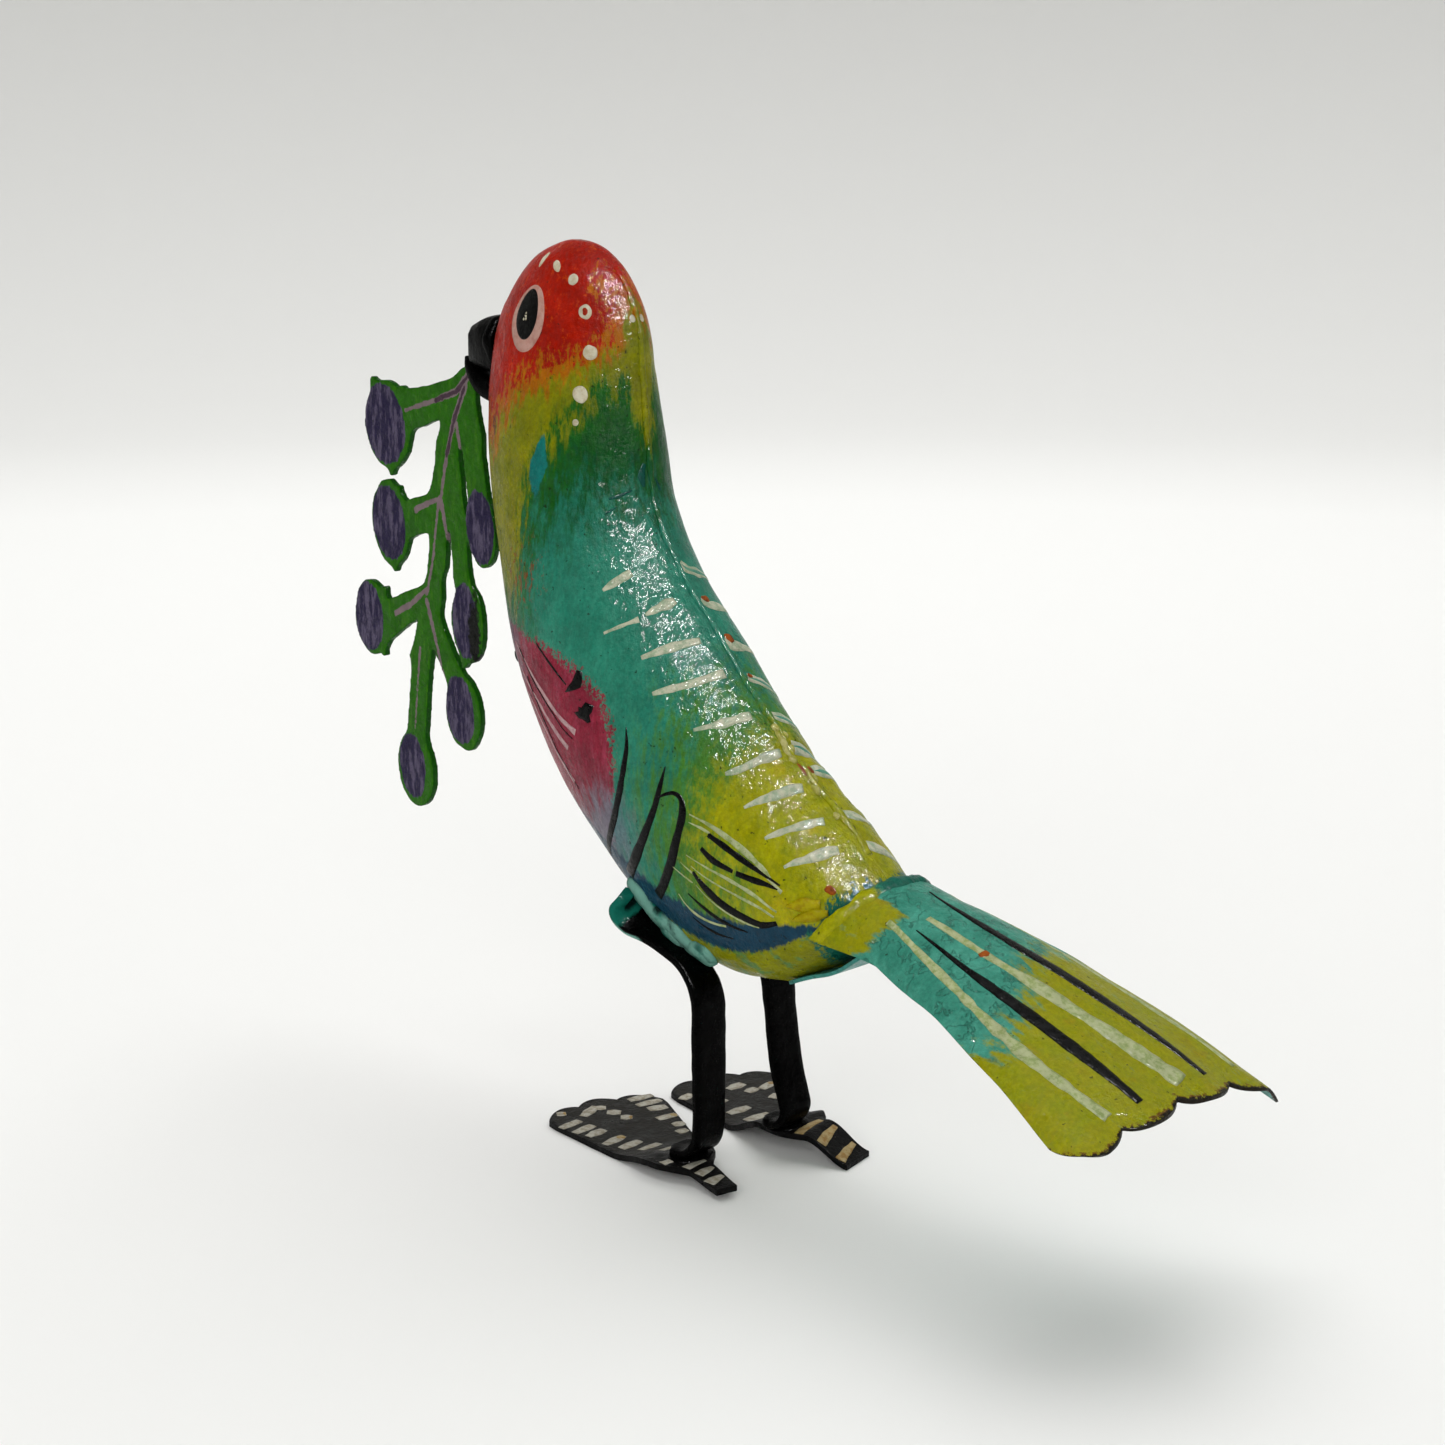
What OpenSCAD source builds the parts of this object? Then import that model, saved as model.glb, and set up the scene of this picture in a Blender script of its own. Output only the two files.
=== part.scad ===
// Painted sheet-metal bird standing on two strip legs, with a cut-metal fruit sprig in its beak.
// The bird faces -Y and its left side is +X. The soles rest on the plane z = 0.
// Two stamped half shells meet on the bird's own middle plane, and everything else is soldered to them.

/* [Body] */
// Thickness of the sheet that the two half shells are stamped from
shell_t = 0.6; // [0.4:0.1:0.9]
// Fullness of the body from side to side, against its usual width
fullness = 1.0; // [0.85:0.05:1.1]
// Height of the solder bead that stands along the back and breast seams
seam_h = 0.5; // [0.3:0.1:0.9]

/* [Tail] */
// Thickness of the tail sheet
tail_t = 0.5; // [0.4:0.1:0.8]
// Length of the tail along Y, from its root edge to its scalloped end
tail_len = 41; // [34:1:46]
// Width of the tail across its end
tail_end_w = 37; // [30:1:42]
// Width of the tail where it leaves the body
tail_waist_w = 16.5; // [14:0.5:18]
// Number of scallops along the end of the tail
tail_scallops = 4; // [3:1:6]
// How far each scallop stands out
tail_scallop_h = 1.6; // [0.8:0.2:2.4]

/* [Sprig] */
// Thickness of the sprig plate
sprig_t = 1.0; // [0.6:0.1:1.4]
// Size of every fruit against its usual size
fruit_scale = 1.0; // [0.85:0.05:1.1]

/* [Legs] */
// Width of the leg strip
leg_w = 5.2; // [4:0.2:6]
// Thickness of the leg strip
leg_t = 1.2; // [0.8:0.1:1.5]
// Distance from the bird's middle plane to the middle of each leg
leg_x = 6.4; // [6:0.1:7]

/* [Feet] */
// Thickness of the foot plates
foot_t = 0.8; // [0.6:0.1:1.0]
// Length of the front part of a foot, from the bend below the ankle to the tips of the lobes
foot_front = 18; // [14:1:20]
// Width of a foot across its front lobes
foot_w = 17.5; // [14:0.5:20]
// Width of the rear toe
toe_w = 3.4; // [2.4:0.2:5]

/* [Hidden] */

// The bird's own frame has its middle plane at x = 0. This moves it so that the origin is at the
// centre of the whole object's footprint.
frame_shift = [3.27, 4.65, 0];
// Smallest gap left between pieces that touch
touch = 0.02;
// Rounds where straight stretches meet are a little wider than the stretches
knuckle = 1.04;

// Body stations from crown to rump: centre y, centre z, half depth, half width
body_stations = [
    [-28.5, 115.4, 2.0, 1.0],
    [-28.5, 112.8, 6.3, 3.0],
    [-29.5, 106.5, 11.0, 6.0],
    [-30.0, 99.0, 13.0, 8.0],
    [-29.5, 90.0, 13.5, 9.5],
    [-27.5, 79.5, 13.5, 10.5],
    [-23.5, 68.5, 15.0, 11.5],
    [-16.5, 58.0, 16.5, 12.0],
    [-8.0, 49.0, 16.5, 11.5],
    [0.5, 42.5, 16.0, 10.5],
    [8.5, 40.0, 14.0, 10.0],
    [17.5, 39.0, 9.0, 8.5],
    [27.5, 38.5, 1.5, 4.0]
];
rings_between = 4;
// Angles round half a section, from the back seam to the breast seam, closer together at the seams
seam_angle = 5;
side_steps = 13;
half_angles = concat(
    [0],
    [for (i = [0 : side_steps]) seam_angle + i * (180 - 2 * seam_angle) / side_steps],
    [180]
);
// The sections are a little pointed where the half shells meet
section_power = 1.05;

// ---------- Curves and sections ----------

function catmull(a, b, c, d, t) =
    0.5 * (2 * b + (c - a) * t + (2 * a - 5 * b + 4 * c - d) * t * t + (3 * b - a - 3 * c + d) * t * t * t);

// Point at position u along a list of stations, where u counts stations
function along(p, u) =
    let (
        last = len(p) - 1,
        i = min(last - 1, max(0, floor(u))),
        before = i > 0 ? p[i - 1] : 2 * p[0] - p[1],
        after = i < last - 1 ? p[i + 2] : 2 * p[last] - p[last - 1]
    )
    catmull(before, p[i], p[i + 1], after, u - i);

body_last = len(body_stations) - 1;

// Unit vector in the middle plane that points from the spine to the back seam, as [y, z]
function back_way(u) =
    let (
        step = 0.05,
        a = along(body_stations, max(0, u - step)),
        b = along(body_stations, min(body_last, u + step)),
        run = [b[0] - a[0], b[1] - a[1]]
    )
    [-run[1], run[0]] / norm(run);

// Point of the body's surface at station u and angle deg from the back seam, raised by off.
// Side is 1 for the bird's left and -1 for its right.
function body_point(u, deg, off, side) =
    let (
        s = along(body_stations, u),
        n = back_way(u),
        depth = max(0.2, s[2] + off),
        width = max(0.2, s[3] * fullness + off),
        out = width * pow(max(0, sin(deg)), section_power),
        back = depth * cos(deg)
    )
    [side * out, s[0] + n[0] * back, s[1] + n[1] * back];

// ---------- Solids made of rings ----------

// Triangles that join rings of m points each into one closed solid with flat ends
function ring_faces(n, m) = concat(
    [for (i = [0 : n - 2]) for (j = [0 : m - 1])
        let (k = (j + 1) % m) each [
            [i * m + j, i * m + k, (i + 1) * m + k],
            [i * m + j, (i + 1) * m + k, (i + 1) * m + j]
        ]],
    [for (j = [1 : m - 2]) [0, j + 1, j]],
    [for (j = [1 : m - 2]) [(n - 1) * m, (n - 1) * m + j, (n - 1) * m + j + 1]]
);

// The same for rings that are a strip folded back on itself: the first half of each ring is one
// face of the sheet and the second half is the other, so the ends are closed across the sheet
function sheet_faces(n, m) =
    let (h = m / 2) concat(
    [for (i = [0 : n - 2]) for (j = [0 : m - 1])
        let (k = (j + 1) % m) each [
            [i * m + j, i * m + k, (i + 1) * m + k],
            [i * m + j, (i + 1) * m + k, (i + 1) * m + j]
        ]],
    [for (e = [0, n - 1]) for (j = [0 : h - 2])
        let (
            a = e * m + j,
            b = e * m + j + 1,
            c = e * m + m - 2 - j,
            d = e * m + m - 1 - j
        )
        each (e == 0 ? [[a, c, b], [a, d, c]] : [[a, b, c], [a, c, d]])]
);

function flipped(faces) = [for (f = faces) [f[0], f[2], f[1]]];

module ring_solid(rings, sheet = false, flip = false) {
    n = len(rings);
    m = len(rings[0]);
    faces = sheet ? sheet_faces(n, m) : ring_faces(n, m);
    polyhedron(points = [for (r = rings) each r], faces = flip ? flipped(faces) : faces);
}

module placed() {
    translate(frame_shift) children();
}

// ---------- Body ----------

// Stations of the inner surface start a little inside both ends of the outer one
inner_start = 0.7;
inner_end = 0.5;

module half_shell(side) {
    steps = body_last * rings_between;
    angles = len(half_angles);
    rings = [for (i = [0 : steps])
        let (
            u = i / rings_between,
            v = inner_start + (body_last - inner_start - inner_end) * i / steps
        )
        concat(
            [for (a = half_angles) body_point(u, a, 0, side)],
            [for (j = [angles - 1 : -1 : 0]) body_point(v, half_angles[j], -shell_t, side)]
        )];
    placed() ring_solid(rings, sheet = true, flip = side > 0);
}

module body_shell_left() {
    color("mediumseagreen") half_shell(1);
}

module body_shell_right() {
    color("darkturquoise") half_shell(-1);
}

// A bead that sits on the seam at angle seam (0 for the back, 180 for the breast)
module seam_bead(seam, first, last) {
    edge = seam == 0 ? seam_angle : 180 - seam_angle;
    between = (edge + seam) / 2;
    steps = (last - first) * rings_between;
    rings = [for (i = [0 : steps])
        let (
            u = first + i / rings_between,
            h = seam_h * min(1, 0.2 + i / 3, 0.2 + (steps - i) / 3)
        )
        [
            body_point(u, seam, touch, 1),
            body_point(u, edge, touch, 1),
            body_point(u, between, 0.7 * h + touch, 1),
            body_point(u, seam, h + touch, 1),
            body_point(u, between, 0.7 * h + touch, -1),
            body_point(u, edge, touch, -1)
        ]];
    placed() ring_solid(rings, flip = seam != 0);
}

module back_seam_solder() {
    color("yellowgreen") seam_bead(0, 1, 11);
}

module breast_seam_solder() {
    color("darkgreen") seam_bead(180, 1, 11);
}

// ---------- Tail ----------

// The tail is an inverted channel: a saddle round the rump that opens out to a shallow fan
tail_root_y = 26.5;
tail_crown_z = 41.9;
tail_slope = 0.4;
tail_crown_bulge = 1.8;
// The root edge runs this much further forward at its sides than on its crown
tail_saddle = 4.5;
tail_steps = 14;
tail_side = 16;

function tail_end_y(q) =
    tail_root_y + tail_len - tail_scallop_h + tail_scallop_h * abs(sin(tail_scallops * 90 * (q + 1)));
function tail_y(s, q) =
    let (root = tail_root_y - tail_saddle * q * q)
    root + s * (tail_end_y(q) - root);
// How far along the tail a place is, from 0 at the waist to 1 at the end, and below 0 on the saddle
function tail_far(y) = (y - tail_root_y - 4) / (tail_len - 4);
function tail_half_w(y) =
    let (f = tail_far(y))
    tail_waist_w / 2 + max(0, f) * (tail_end_w - tail_waist_w) / 2 - 0.8 * min(0, f) * 4;
// How far the edges lie below the crown: deep at the saddle, shallow at the end
function tail_drop(y) =
    let (f = tail_far(y))
    f < 0 ? 4.8 - 4.0 * f : 4.8 - 2.4 * f;
// The sheet is twisted by hand: the left edge hangs lower at the root, and the right edge at the end
function tail_twist(y) =
    let (f = max(0, tail_far(y)))
    1.0 - 1.7 * f * f;
function tail_open(y) = 80 - 38 * min(1, max(0, tail_far(y)));

// Point of the tail at s from root to end and q from -1 to 1 across it, raised by off
function tail_point(s, q, off) =
    let (
        y = tail_y(s, q),
        w = tail_half_w(y) + off,
        open = tail_open(y),
        x = w * sin(q * open) / sin(open),
        run = (y - tail_root_y) / tail_len,
        crown = tail_crown_z - tail_slope * (y - tail_root_y) + 4 * tail_crown_bulge * run * (1 - run)
    )
    [
        x,
        y,
        crown + off - (tail_drop(y) + off) * (1 - cos(q * open)) / (1 - cos(open)) - tail_twist(y) * q * abs(q)
    ];

module tail_fan() {
    qs = [for (j = [0 : 2 * tail_side]) j / tail_side - 1];
    rings = [for (i = [0 : tail_steps])
        let (s = i / tail_steps)
        concat(
            [for (q = qs) tail_point(s, q, tail_t)],
            [for (j = [2 * tail_side : -1 : 0]) tail_point(s, qs[j], 0)]
        )];
    color("yellowgreen") placed() ring_solid(rings, sheet = true, flip = true);
}

// A bent tongue below the rump that ties the underside of the tail to the belly
brace_path = [[11.5, 27.6], [16.0, 29.6], [20.5, 31.4], [25.0, 34.2], [29.5, 37.6], [33.5, 39.0]];
brace_w = 7;

// Outline of a strip of thickness t that follows a path in the middle plane
module strip_outline(path, t) {
    for (i = [0 : len(path) - 2]) {
        run = path[i + 1] - path[i];
        side = [-run[1], run[0]] / norm(run) * t / 2;
        polygon([path[i] + side, path[i] - side, path[i + 1] - side, path[i + 1] + side]);
    }
    for (i = [1 : len(path) - 2]) translate(path[i]) circle(d = knuckle * t, $fn = 48);
}

// Turns an outline drawn in [y, z] into a plate of width w whose middle is at x = at
module along_x(w, at) {
    translate([at - w / 2, 0, 0]) rotate([90, 0, 90]) linear_extrude(w) children();
}

module tail_brace() {
    color("teal") placed() along_x(brace_w, 0) strip_outline(brace_path, tail_t);
}

// Lumpy bead round the saddle, just ahead of its root edge
root_bead_r = 0.8;
root_bead_steps = 24;

module tail_root_solder() {
    sides = 8;
    rings = [for (i = [0 : root_bead_steps])
        let (
            q = 0.96 * (2 * i / root_bead_steps - 1),
            p = tail_point(0, q, tail_t / 2),
            lump = root_bead_r * (0.85 + 0.15 * cos(i * 110)),
            face = 80 * q
        )
        [for (k = [0 : sides - 1])
            let (a = 360 * k / sides)
            p + [
                lump * cos(a) * sin(face),
                -root_bead_r + lump * sin(a),
                lump * cos(a) * cos(face)
            ]]];
    color("seagreen") placed() ring_solid(rings);
}

// ---------- Beak ----------

// Mandible stations: y, z, half height, half width
upper_stations = [
    [-42.6, 101.9, 3.6, 3.3],
    [-45.0, 101.8, 3.3, 3.0],
    [-47.2, 101.6, 2.7, 2.5],
    [-48.8, 101.4, 2.0, 1.8],
    [-49.5, 101.3, 1.1, 1.0]
];
lower_stations = [
    [-43.0, 95.6, 1.8, 2.3],
    [-45.8, 95.8, 1.7, 2.3],
    [-48.2, 97.0, 1.2, 2.0],
    [-49.9, 98.3, 0.9, 1.4],
    [-51.0, 99.4, 0.3, 0.5]
];
beak_sides = 10;
beak_rings = 3;

module mandible(stations) {
    last = len(stations) - 1;
    rings = [for (i = [0 : last * beak_rings])
        let (
            u = i / beak_rings,
            s = along(stations, u),
            a = along(stations, max(0, u - 0.1)),
            b = along(stations, min(last, u + 0.1)),
            run = [b[0] - a[0], b[1] - a[1]],
            up = [run[1], -run[0]] / norm(run)
        )
        [for (k = [0 : beak_sides - 1])
            let (t = 360 * k / beak_sides)
            [s[3] * sin(t), s[0] + up[0] * s[2] * cos(t), s[1] + up[1] * s[2] * cos(t)]]];
    ring_solid(rings);
}

module beak_upper() {
    color("black") placed() mandible(upper_stations);
}

// The lower mandible is slit along its middle, and the stem of the sprig passes through the slit
module beak_lower() {
    color("dimgray") placed() difference() {
        mandible(lower_stations);
        translate([-sprig_t / 2 - touch, -60, 90]) cube([sprig_t + 2 * touch, 13.2, 12]);
    }
}

// Collar of solder where the upper mandible meets the face
module beak_solder() {
    color("firebrick") placed()
        translate([0, -43.6, 102.4]) rotate([90, 0, 0]) rotate_extrude($fn = 48)
            translate([3.6, 0]) circle(r = 0.7, $fn = 24);
}

// ---------- Sprig ----------

// Stem and branches as [from, to, width at from, width at to], points given as [y, z]
branches = [
    [[-48.8, 98.4], [-50.8, 96.2], 1.6, 3.6],
    [[-50.8, 96.2], [-53.2, 92.6], 3.6, 5.0],
    [[-53.2, 92.6], [-55.4, 86.8], 4.8, 4.4],
    [[-55.4, 86.8], [-57.2, 79.8], 4.4, 4.4],
    [[-57.2, 79.8], [-58.2, 71.3], 4.4, 3.6],
    [[-58.2, 71.3], [-60.1, 64.2], 3.6, 4.2],
    [[-60.1, 64.2], [-62.4, 57.0], 4.4, 4.2],
    [[-62.4, 57.0], [-63.8, 45.0], 4.2, 4.2],
    [[-51.8, 95.4], [-57.0, 93.4], 4.4, 4.4],
    [[-57.0, 93.4], [-64.4, 91.4], 4.4, 6.0],
    [[-57.2, 78.6], [-64.4, 76.4], 4.4, 5.4],
    [[-59.4, 66.4], [-70.0, 61.4], 3.6, 5.2],
    [[-60.4, 63.8], [-55.2, 55.6], 4.0, 3.8],
    [[-55.0, 86.4], [-53.6, 77.0], 4.0, 3.6],
    [[-53.6, 77.0], [-52.8, 69.0], 3.6, 3.6],
    [[-51.6, 94.2], [-50.2, 88.6], 5.0, 4.4],
    [[-50.2, 88.6], [-49.2, 82.0], 4.4, 4.0]
];
// Fruits as [centre, width, height, lean in degrees], centres given as [y, z]
fruits = [
    [[-68.5, 89.2], 10.2, 12.4, 8],
    [[-68.4, 75.4], 8.2, 12.0, 8],
    [[-72.8, 61.4], 8.0, 11.0, 4],
    [[-64.2, 40.8], 8.0, 11.2, 4],
    [[-53.2, 50.6], 7.6, 10.8, 6],
    [[-51.9, 63.3], 6.8, 11.4, 3],
    [[-48.5, 76.6], 6.0, 11.0, 5]
];

module branch(b) {
    run = b[1] - b[0];
    side = [-run[1], run[0]] / norm(run) / 2;
    polygon([b[0] + side * b[2], b[0] - side * b[2], b[1] - side * b[3], b[1] + side * b[3]]);
    translate(b[1]) circle(d = knuckle * b[3], $fn = 48);
}

module oval(w, h) {
    points = 32;
    polygon([for (i = [0 : points - 1]) [w * cos(360 * i / points), h * sin(360 * i / points)] / 2]);
}

module sprig_outline() {
    for (b = branches) branch(b);
    for (f = fruits) translate(f[0]) rotate(f[3]) oval(f[1] * fruit_scale, f[2] * fruit_scale);
}

module fruit_sprig() {
    color("forestgreen") placed() along_x(sprig_t, 0) sprig_outline();
}

// Drops of solder that hold the stem between the mandibles, one on each side of the plate
module sprig_solder() {
    color("gray") placed() for (side = [-1, 1])
        translate([side * (sprig_t / 2 + touch), -49.4, 97.6]) intersection() {
            sphere(r = 0.9, $fn = 32);
            translate([side > 0 ? 0 : -1, -1, -1]) cube([1, 2, 2]);
        }
}

// ---------- Legs ----------

// Paths of the leg strips in the middle of their thickness, from the hip's curled end to the foot
// tab, given as [y, z]
hip_path = [[-11.0, 36.0], [-11.5, 33.8], [-10.8, 32.2], [-8.4, 30.6], [-5.2, 29.3], [-2.0, 27.8]];
// Height of the curled end's rounded top
hip_top = 35.1;
// Height of each ankle above the ground
left_rise = 1.4;
right_rise = 2.8;
// Middle of the foot tabs' thickness, and how far forward the tabs run
left_tab_z = left_rise + foot_t + leg_t / 2 + touch;
right_tab_z = right_rise + foot_t + leg_t / 2 + touch;
left_tab_end = -3.8;
right_tab_end = -0.2;
left_leg_path = concat(hip_path, [
    [0.0, 26.0], [0.9, 24.0], [1.1, 21.5], [1.1, 12.0], [1.0, 6.4], [0.5, 4.6], [-0.7, 3.4],
    [-2.0, left_tab_z], [left_tab_end, left_tab_z]
]);
right_leg_path = concat(hip_path, [
    [-0.3, 26.0], [0.6, 24.0], [0.9, 21.5], [2.1, 13.0], [3.6, 7.8], [3.8, 6.2], [3.0, 4.8],
    [1.8, right_tab_z], [right_tab_end, right_tab_z]
]);

module leg_strip(path, side) {
    round_r = leg_w / 2 + 0.3;
    placed() intersection() {
        along_x(leg_w, side * leg_x) strip_outline(path, leg_t);
        // The curled end is rounded across the strip
        translate([side * leg_x, 0, 0]) {
            translate([0, 20, hip_top - round_r]) rotate([90, 0, 0]) cylinder(r = round_r, h = 50, $fn = 48);
            translate([-leg_w, -30, 0]) cube([2 * leg_w, 50, hip_top - round_r]);
        }
    }
}

module leg_left() {
    color("black") leg_strip(left_leg_path, 1);
}

module leg_right() {
    color("black") leg_strip(right_leg_path, -1);
}

// ---------- Solder at the hips ----------

// A pad on the body's surface: a shallow dome between stations u and angles a, high in its middle
module surface_pad(first, last, from_deg, to_deg, h, side) {
    steps = 6;
    across = 8;
    rings = [for (i = [0 : steps])
        let (u = first + (last - first) * i / steps)
        concat(
            [for (j = [0 : across])
                let (
                    r = 1 - pow(2 * i / steps - 1, 2) * 0.9,
                    q = 1 - pow(2 * j / across - 1, 2)
                )
                body_point(u, from_deg + (to_deg - from_deg) * j / across, 0.12 + h * r * q, side)],
            [for (j = [across : -1 : 0])
                body_point(u, from_deg + (to_deg - from_deg) * j / across, touch, side)]
        )];
    ring_solid(rings, sheet = true, flip = side > 0);
}

module hip_solder(side, path) {
    placed() difference() {
        surface_pad(8.5, 9.7, 146, 170, 1.6, side);
        along_x(leg_w + 2 * touch, side * leg_x) strip_outline(path, leg_t + 2 * touch);
    }
}

module hip_solder_left() {
    color("darkcyan") hip_solder(1, left_leg_path);
}

module hip_solder_right() {
    color("darkcyan") hip_solder(-1, right_leg_path);
}

// ---------- Feet ----------

// Each foot is one plate in its own frame, with its ankle at the origin and its toes along -Y:
// a flat front with three lobes, a ramp up to the ankle, and a rear toe that bends down again
ankle_w = 9;
ramp_len = 8;
front_lobes = 3;
lobe_h = 1.3;
lobe_points = 8;
// How far the front edge falls back at its sides
front_sweep = 3.4;
toe_run = 4.8;

// Edge of the front lobes, from side to side, bulging forward
front_edge = [
    for (i = [0 : front_lobes * lobe_points])
        let (
            q = 2 * i / (front_lobes * lobe_points) - 1,
            back = front_sweep * q * q + lobe_h * (1 - abs(sin(180 * i / lobe_points)))
        )
        [foot_w / 2 * q, back - ramp_len - foot_front]
];

// A foot whose ankle stands rise above the ground, with its rear toe turned by toe_turn
module foot_plate(rise, toe_turn) {
    waist = foot_w * 0.7;
    ramp_angle = atan(rise / ramp_len);
    ramp_run = norm([rise, ramp_len]);
    // Front, flat on the ground
    linear_extrude(foot_t)
        polygon(concat(front_edge, [[waist / 2, -ramp_len], [-waist / 2, -ramp_len]]));
    // Ramp up to the ankle
    translate([0, -ramp_len, 0]) rotate([ramp_angle, 0, 0]) linear_extrude(foot_t)
        polygon([[-waist / 2, 0], [waist / 2, 0], [ankle_w / 2, ramp_run], [-ankle_w / 2, ramp_run]]);
    // Rear toe, level for a little way and then down to the ground
    translate([0, 0, rise]) rotate([0, 0, toe_turn]) {
        linear_extrude(foot_t) {
            circle(d = ankle_w, $fn = 48);
            translate([-toe_w / 2, 0]) square([toe_w, toe_run]);
        }
        translate([0, toe_run, foot_t]) rotate([-atan(rise / toe_run), 0, 0]) translate([-toe_w / 2, 0, -foot_t])
            cube([toe_w, norm([rise, toe_run]), foot_t]);
    }
}

// Places of the ankles, and how each foot is turned
left_foot_at = [leg_x + 0.8, -2.8];
left_foot_turn = -16;
left_toe_turn = 4;
right_foot_at = [-leg_x - 2.6, 1.2];
right_foot_turn = -22;
right_toe_turn = 38;

module foot_at(place, turn) {
    placed() translate([place[0], place[1], 0]) rotate([0, 0, turn]) children();
}

module foot_left() {
    color("darkslategray") foot_at(left_foot_at, left_foot_turn) foot_plate(left_rise, left_toe_turn);
}

module foot_right() {
    color("darkslategray") foot_at(right_foot_at, right_foot_turn) foot_plate(right_rise, right_toe_turn);
}

// Low dome of solder round the foot tab of a leg, open where the tab lies
module foot_solder(place, rise, tab_end, side) {
    dome_r = 6.2;
    dome_h = 1.3;
    placed() difference() {
        translate([place[0], place[1], rise + foot_t + touch]) intersection() {
            translate([0, 0, dome_h - dome_r]) sphere(r = dome_r, $fn = 64);
            translate([-dome_r, -dome_r, 0]) cube([2 * dome_r, 2 * dome_r, dome_r]);
        }
        translate([side * leg_x - leg_w / 2 - touch, tab_end - touch, rise])
            cube([leg_w + 2 * touch, 12, 6]);
    }
}

module foot_solder_left() {
    color("black") foot_solder([leg_x + 1.4, -2.6], left_rise, left_tab_end, 1);
}

module foot_solder_right() {
    color("black") foot_solder([-leg_x - 1.8, 1.2], right_rise, right_tab_end, -1);
}

body_shell_left();
body_shell_right();
back_seam_solder();
breast_seam_solder();
tail_fan();
tail_brace();
tail_root_solder();
beak_upper();
beak_lower();
beak_solder();
fruit_sprig();
sprig_solder();
leg_left();
leg_right();
hip_solder_left();
hip_solder_right();
foot_left();
foot_right();
foot_solder_left();
foot_solder_right();
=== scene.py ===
import bpy
import math
import numpy as np
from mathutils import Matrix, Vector


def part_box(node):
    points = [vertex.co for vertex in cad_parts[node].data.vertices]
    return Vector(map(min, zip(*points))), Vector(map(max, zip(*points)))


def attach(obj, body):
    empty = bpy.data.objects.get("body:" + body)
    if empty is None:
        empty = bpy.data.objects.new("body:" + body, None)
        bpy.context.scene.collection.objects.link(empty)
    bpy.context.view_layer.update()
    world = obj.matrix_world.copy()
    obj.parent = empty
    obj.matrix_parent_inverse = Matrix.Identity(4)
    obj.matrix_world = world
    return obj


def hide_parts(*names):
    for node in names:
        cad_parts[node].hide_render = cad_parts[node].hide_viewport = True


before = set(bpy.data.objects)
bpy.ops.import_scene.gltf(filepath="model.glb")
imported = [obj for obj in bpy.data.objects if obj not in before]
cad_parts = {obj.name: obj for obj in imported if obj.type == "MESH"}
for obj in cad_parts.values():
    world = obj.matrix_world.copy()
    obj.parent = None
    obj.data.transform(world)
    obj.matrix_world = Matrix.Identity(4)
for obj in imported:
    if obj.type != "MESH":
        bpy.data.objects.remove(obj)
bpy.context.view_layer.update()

# Everything is drawn in the bird's own frame, in millimetres: its middle plane is x = 0, it faces -y, and its
# soles are on z = 0. OWN moves that to the shared frame. The sprig plate lies on the middle plane, and its
# foremost fruit ends at y = -76.8.
sprig_low, sprig_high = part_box("fruit_sprig")
OWN = np.array([500 * (sprig_low.x + sprig_high.x), 1000 * sprig_low.y + 76.8, 0.0])


def shared(points):
    return (np.asarray(points, float) + OWN) / 1000


# ---------- Noise and small maths ----------

def smooth(low, high, value):
    t = np.clip((np.asarray(value, float) - low) / (high - low), 0, 1)
    return t * t * (3 - 2 * t)


def lattice(cell, seed):
    n = cell[..., 0] * 127.1 + cell[..., 1] * 311.7 + cell[..., 2] * 74.7 + seed * 17.3
    v = np.sin(n) * 43758.5453
    return v - np.floor(v)


def noise(points, size, seed=0):
    """Smooth noise from -1 to 1 at points, with lumps about size across."""
    p = np.asarray(points, float) / size
    base = np.floor(p)
    f = p - base
    f = f * f * (3 - 2 * f)
    total = 0
    for dx in (0, 1):
        for dy in (0, 1):
            for dz in (0, 1):
                weight = (f[..., 0] if dx else 1 - f[..., 0]) * (f[..., 1] if dy else 1 - f[..., 1])
                weight = weight * (f[..., 2] if dz else 1 - f[..., 2])
                total = total + weight * lattice(base + np.array([dx, dy, dz]), seed)
    return total * 2 - 1


def jitter(points, size, seed):
    """Noise for each of the three coordinates."""
    return np.stack([noise(points, size, seed + i) for i in range(3)], -1)


def field(value, width):
    """A mark that rises from 0 to 1 over width, and is 0.5 where value is 0."""
    return np.clip(value / width + 0.5, 0, 1)


def unit(v):
    return v / np.maximum(np.linalg.norm(v, axis=-1, keepdims=True), 1e-12)


def catmull(stations, u):
    """Smooth rows of a table at positions u, where u counts rows."""
    table = np.asarray(stations, float)
    last = len(table) - 1
    table = np.vstack([2 * table[0] - table[1], table, 2 * table[last] - table[last - 1]])
    u = np.clip(np.asarray(u, float), 0, last)
    i = np.minimum(last - 1, np.floor(u).astype(int))
    t = (u - i)[..., None]
    a, b, c, d = table[i], table[i + 1], table[i + 2], table[i + 3]
    return 0.5 * (2 * b + (c - a) * t + (2 * a - 5 * b + 4 * c - d) * t * t
        + (3 * b - a - 3 * c + d) * t ** 3)


# ---------- Mesh helpers ----------

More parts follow.
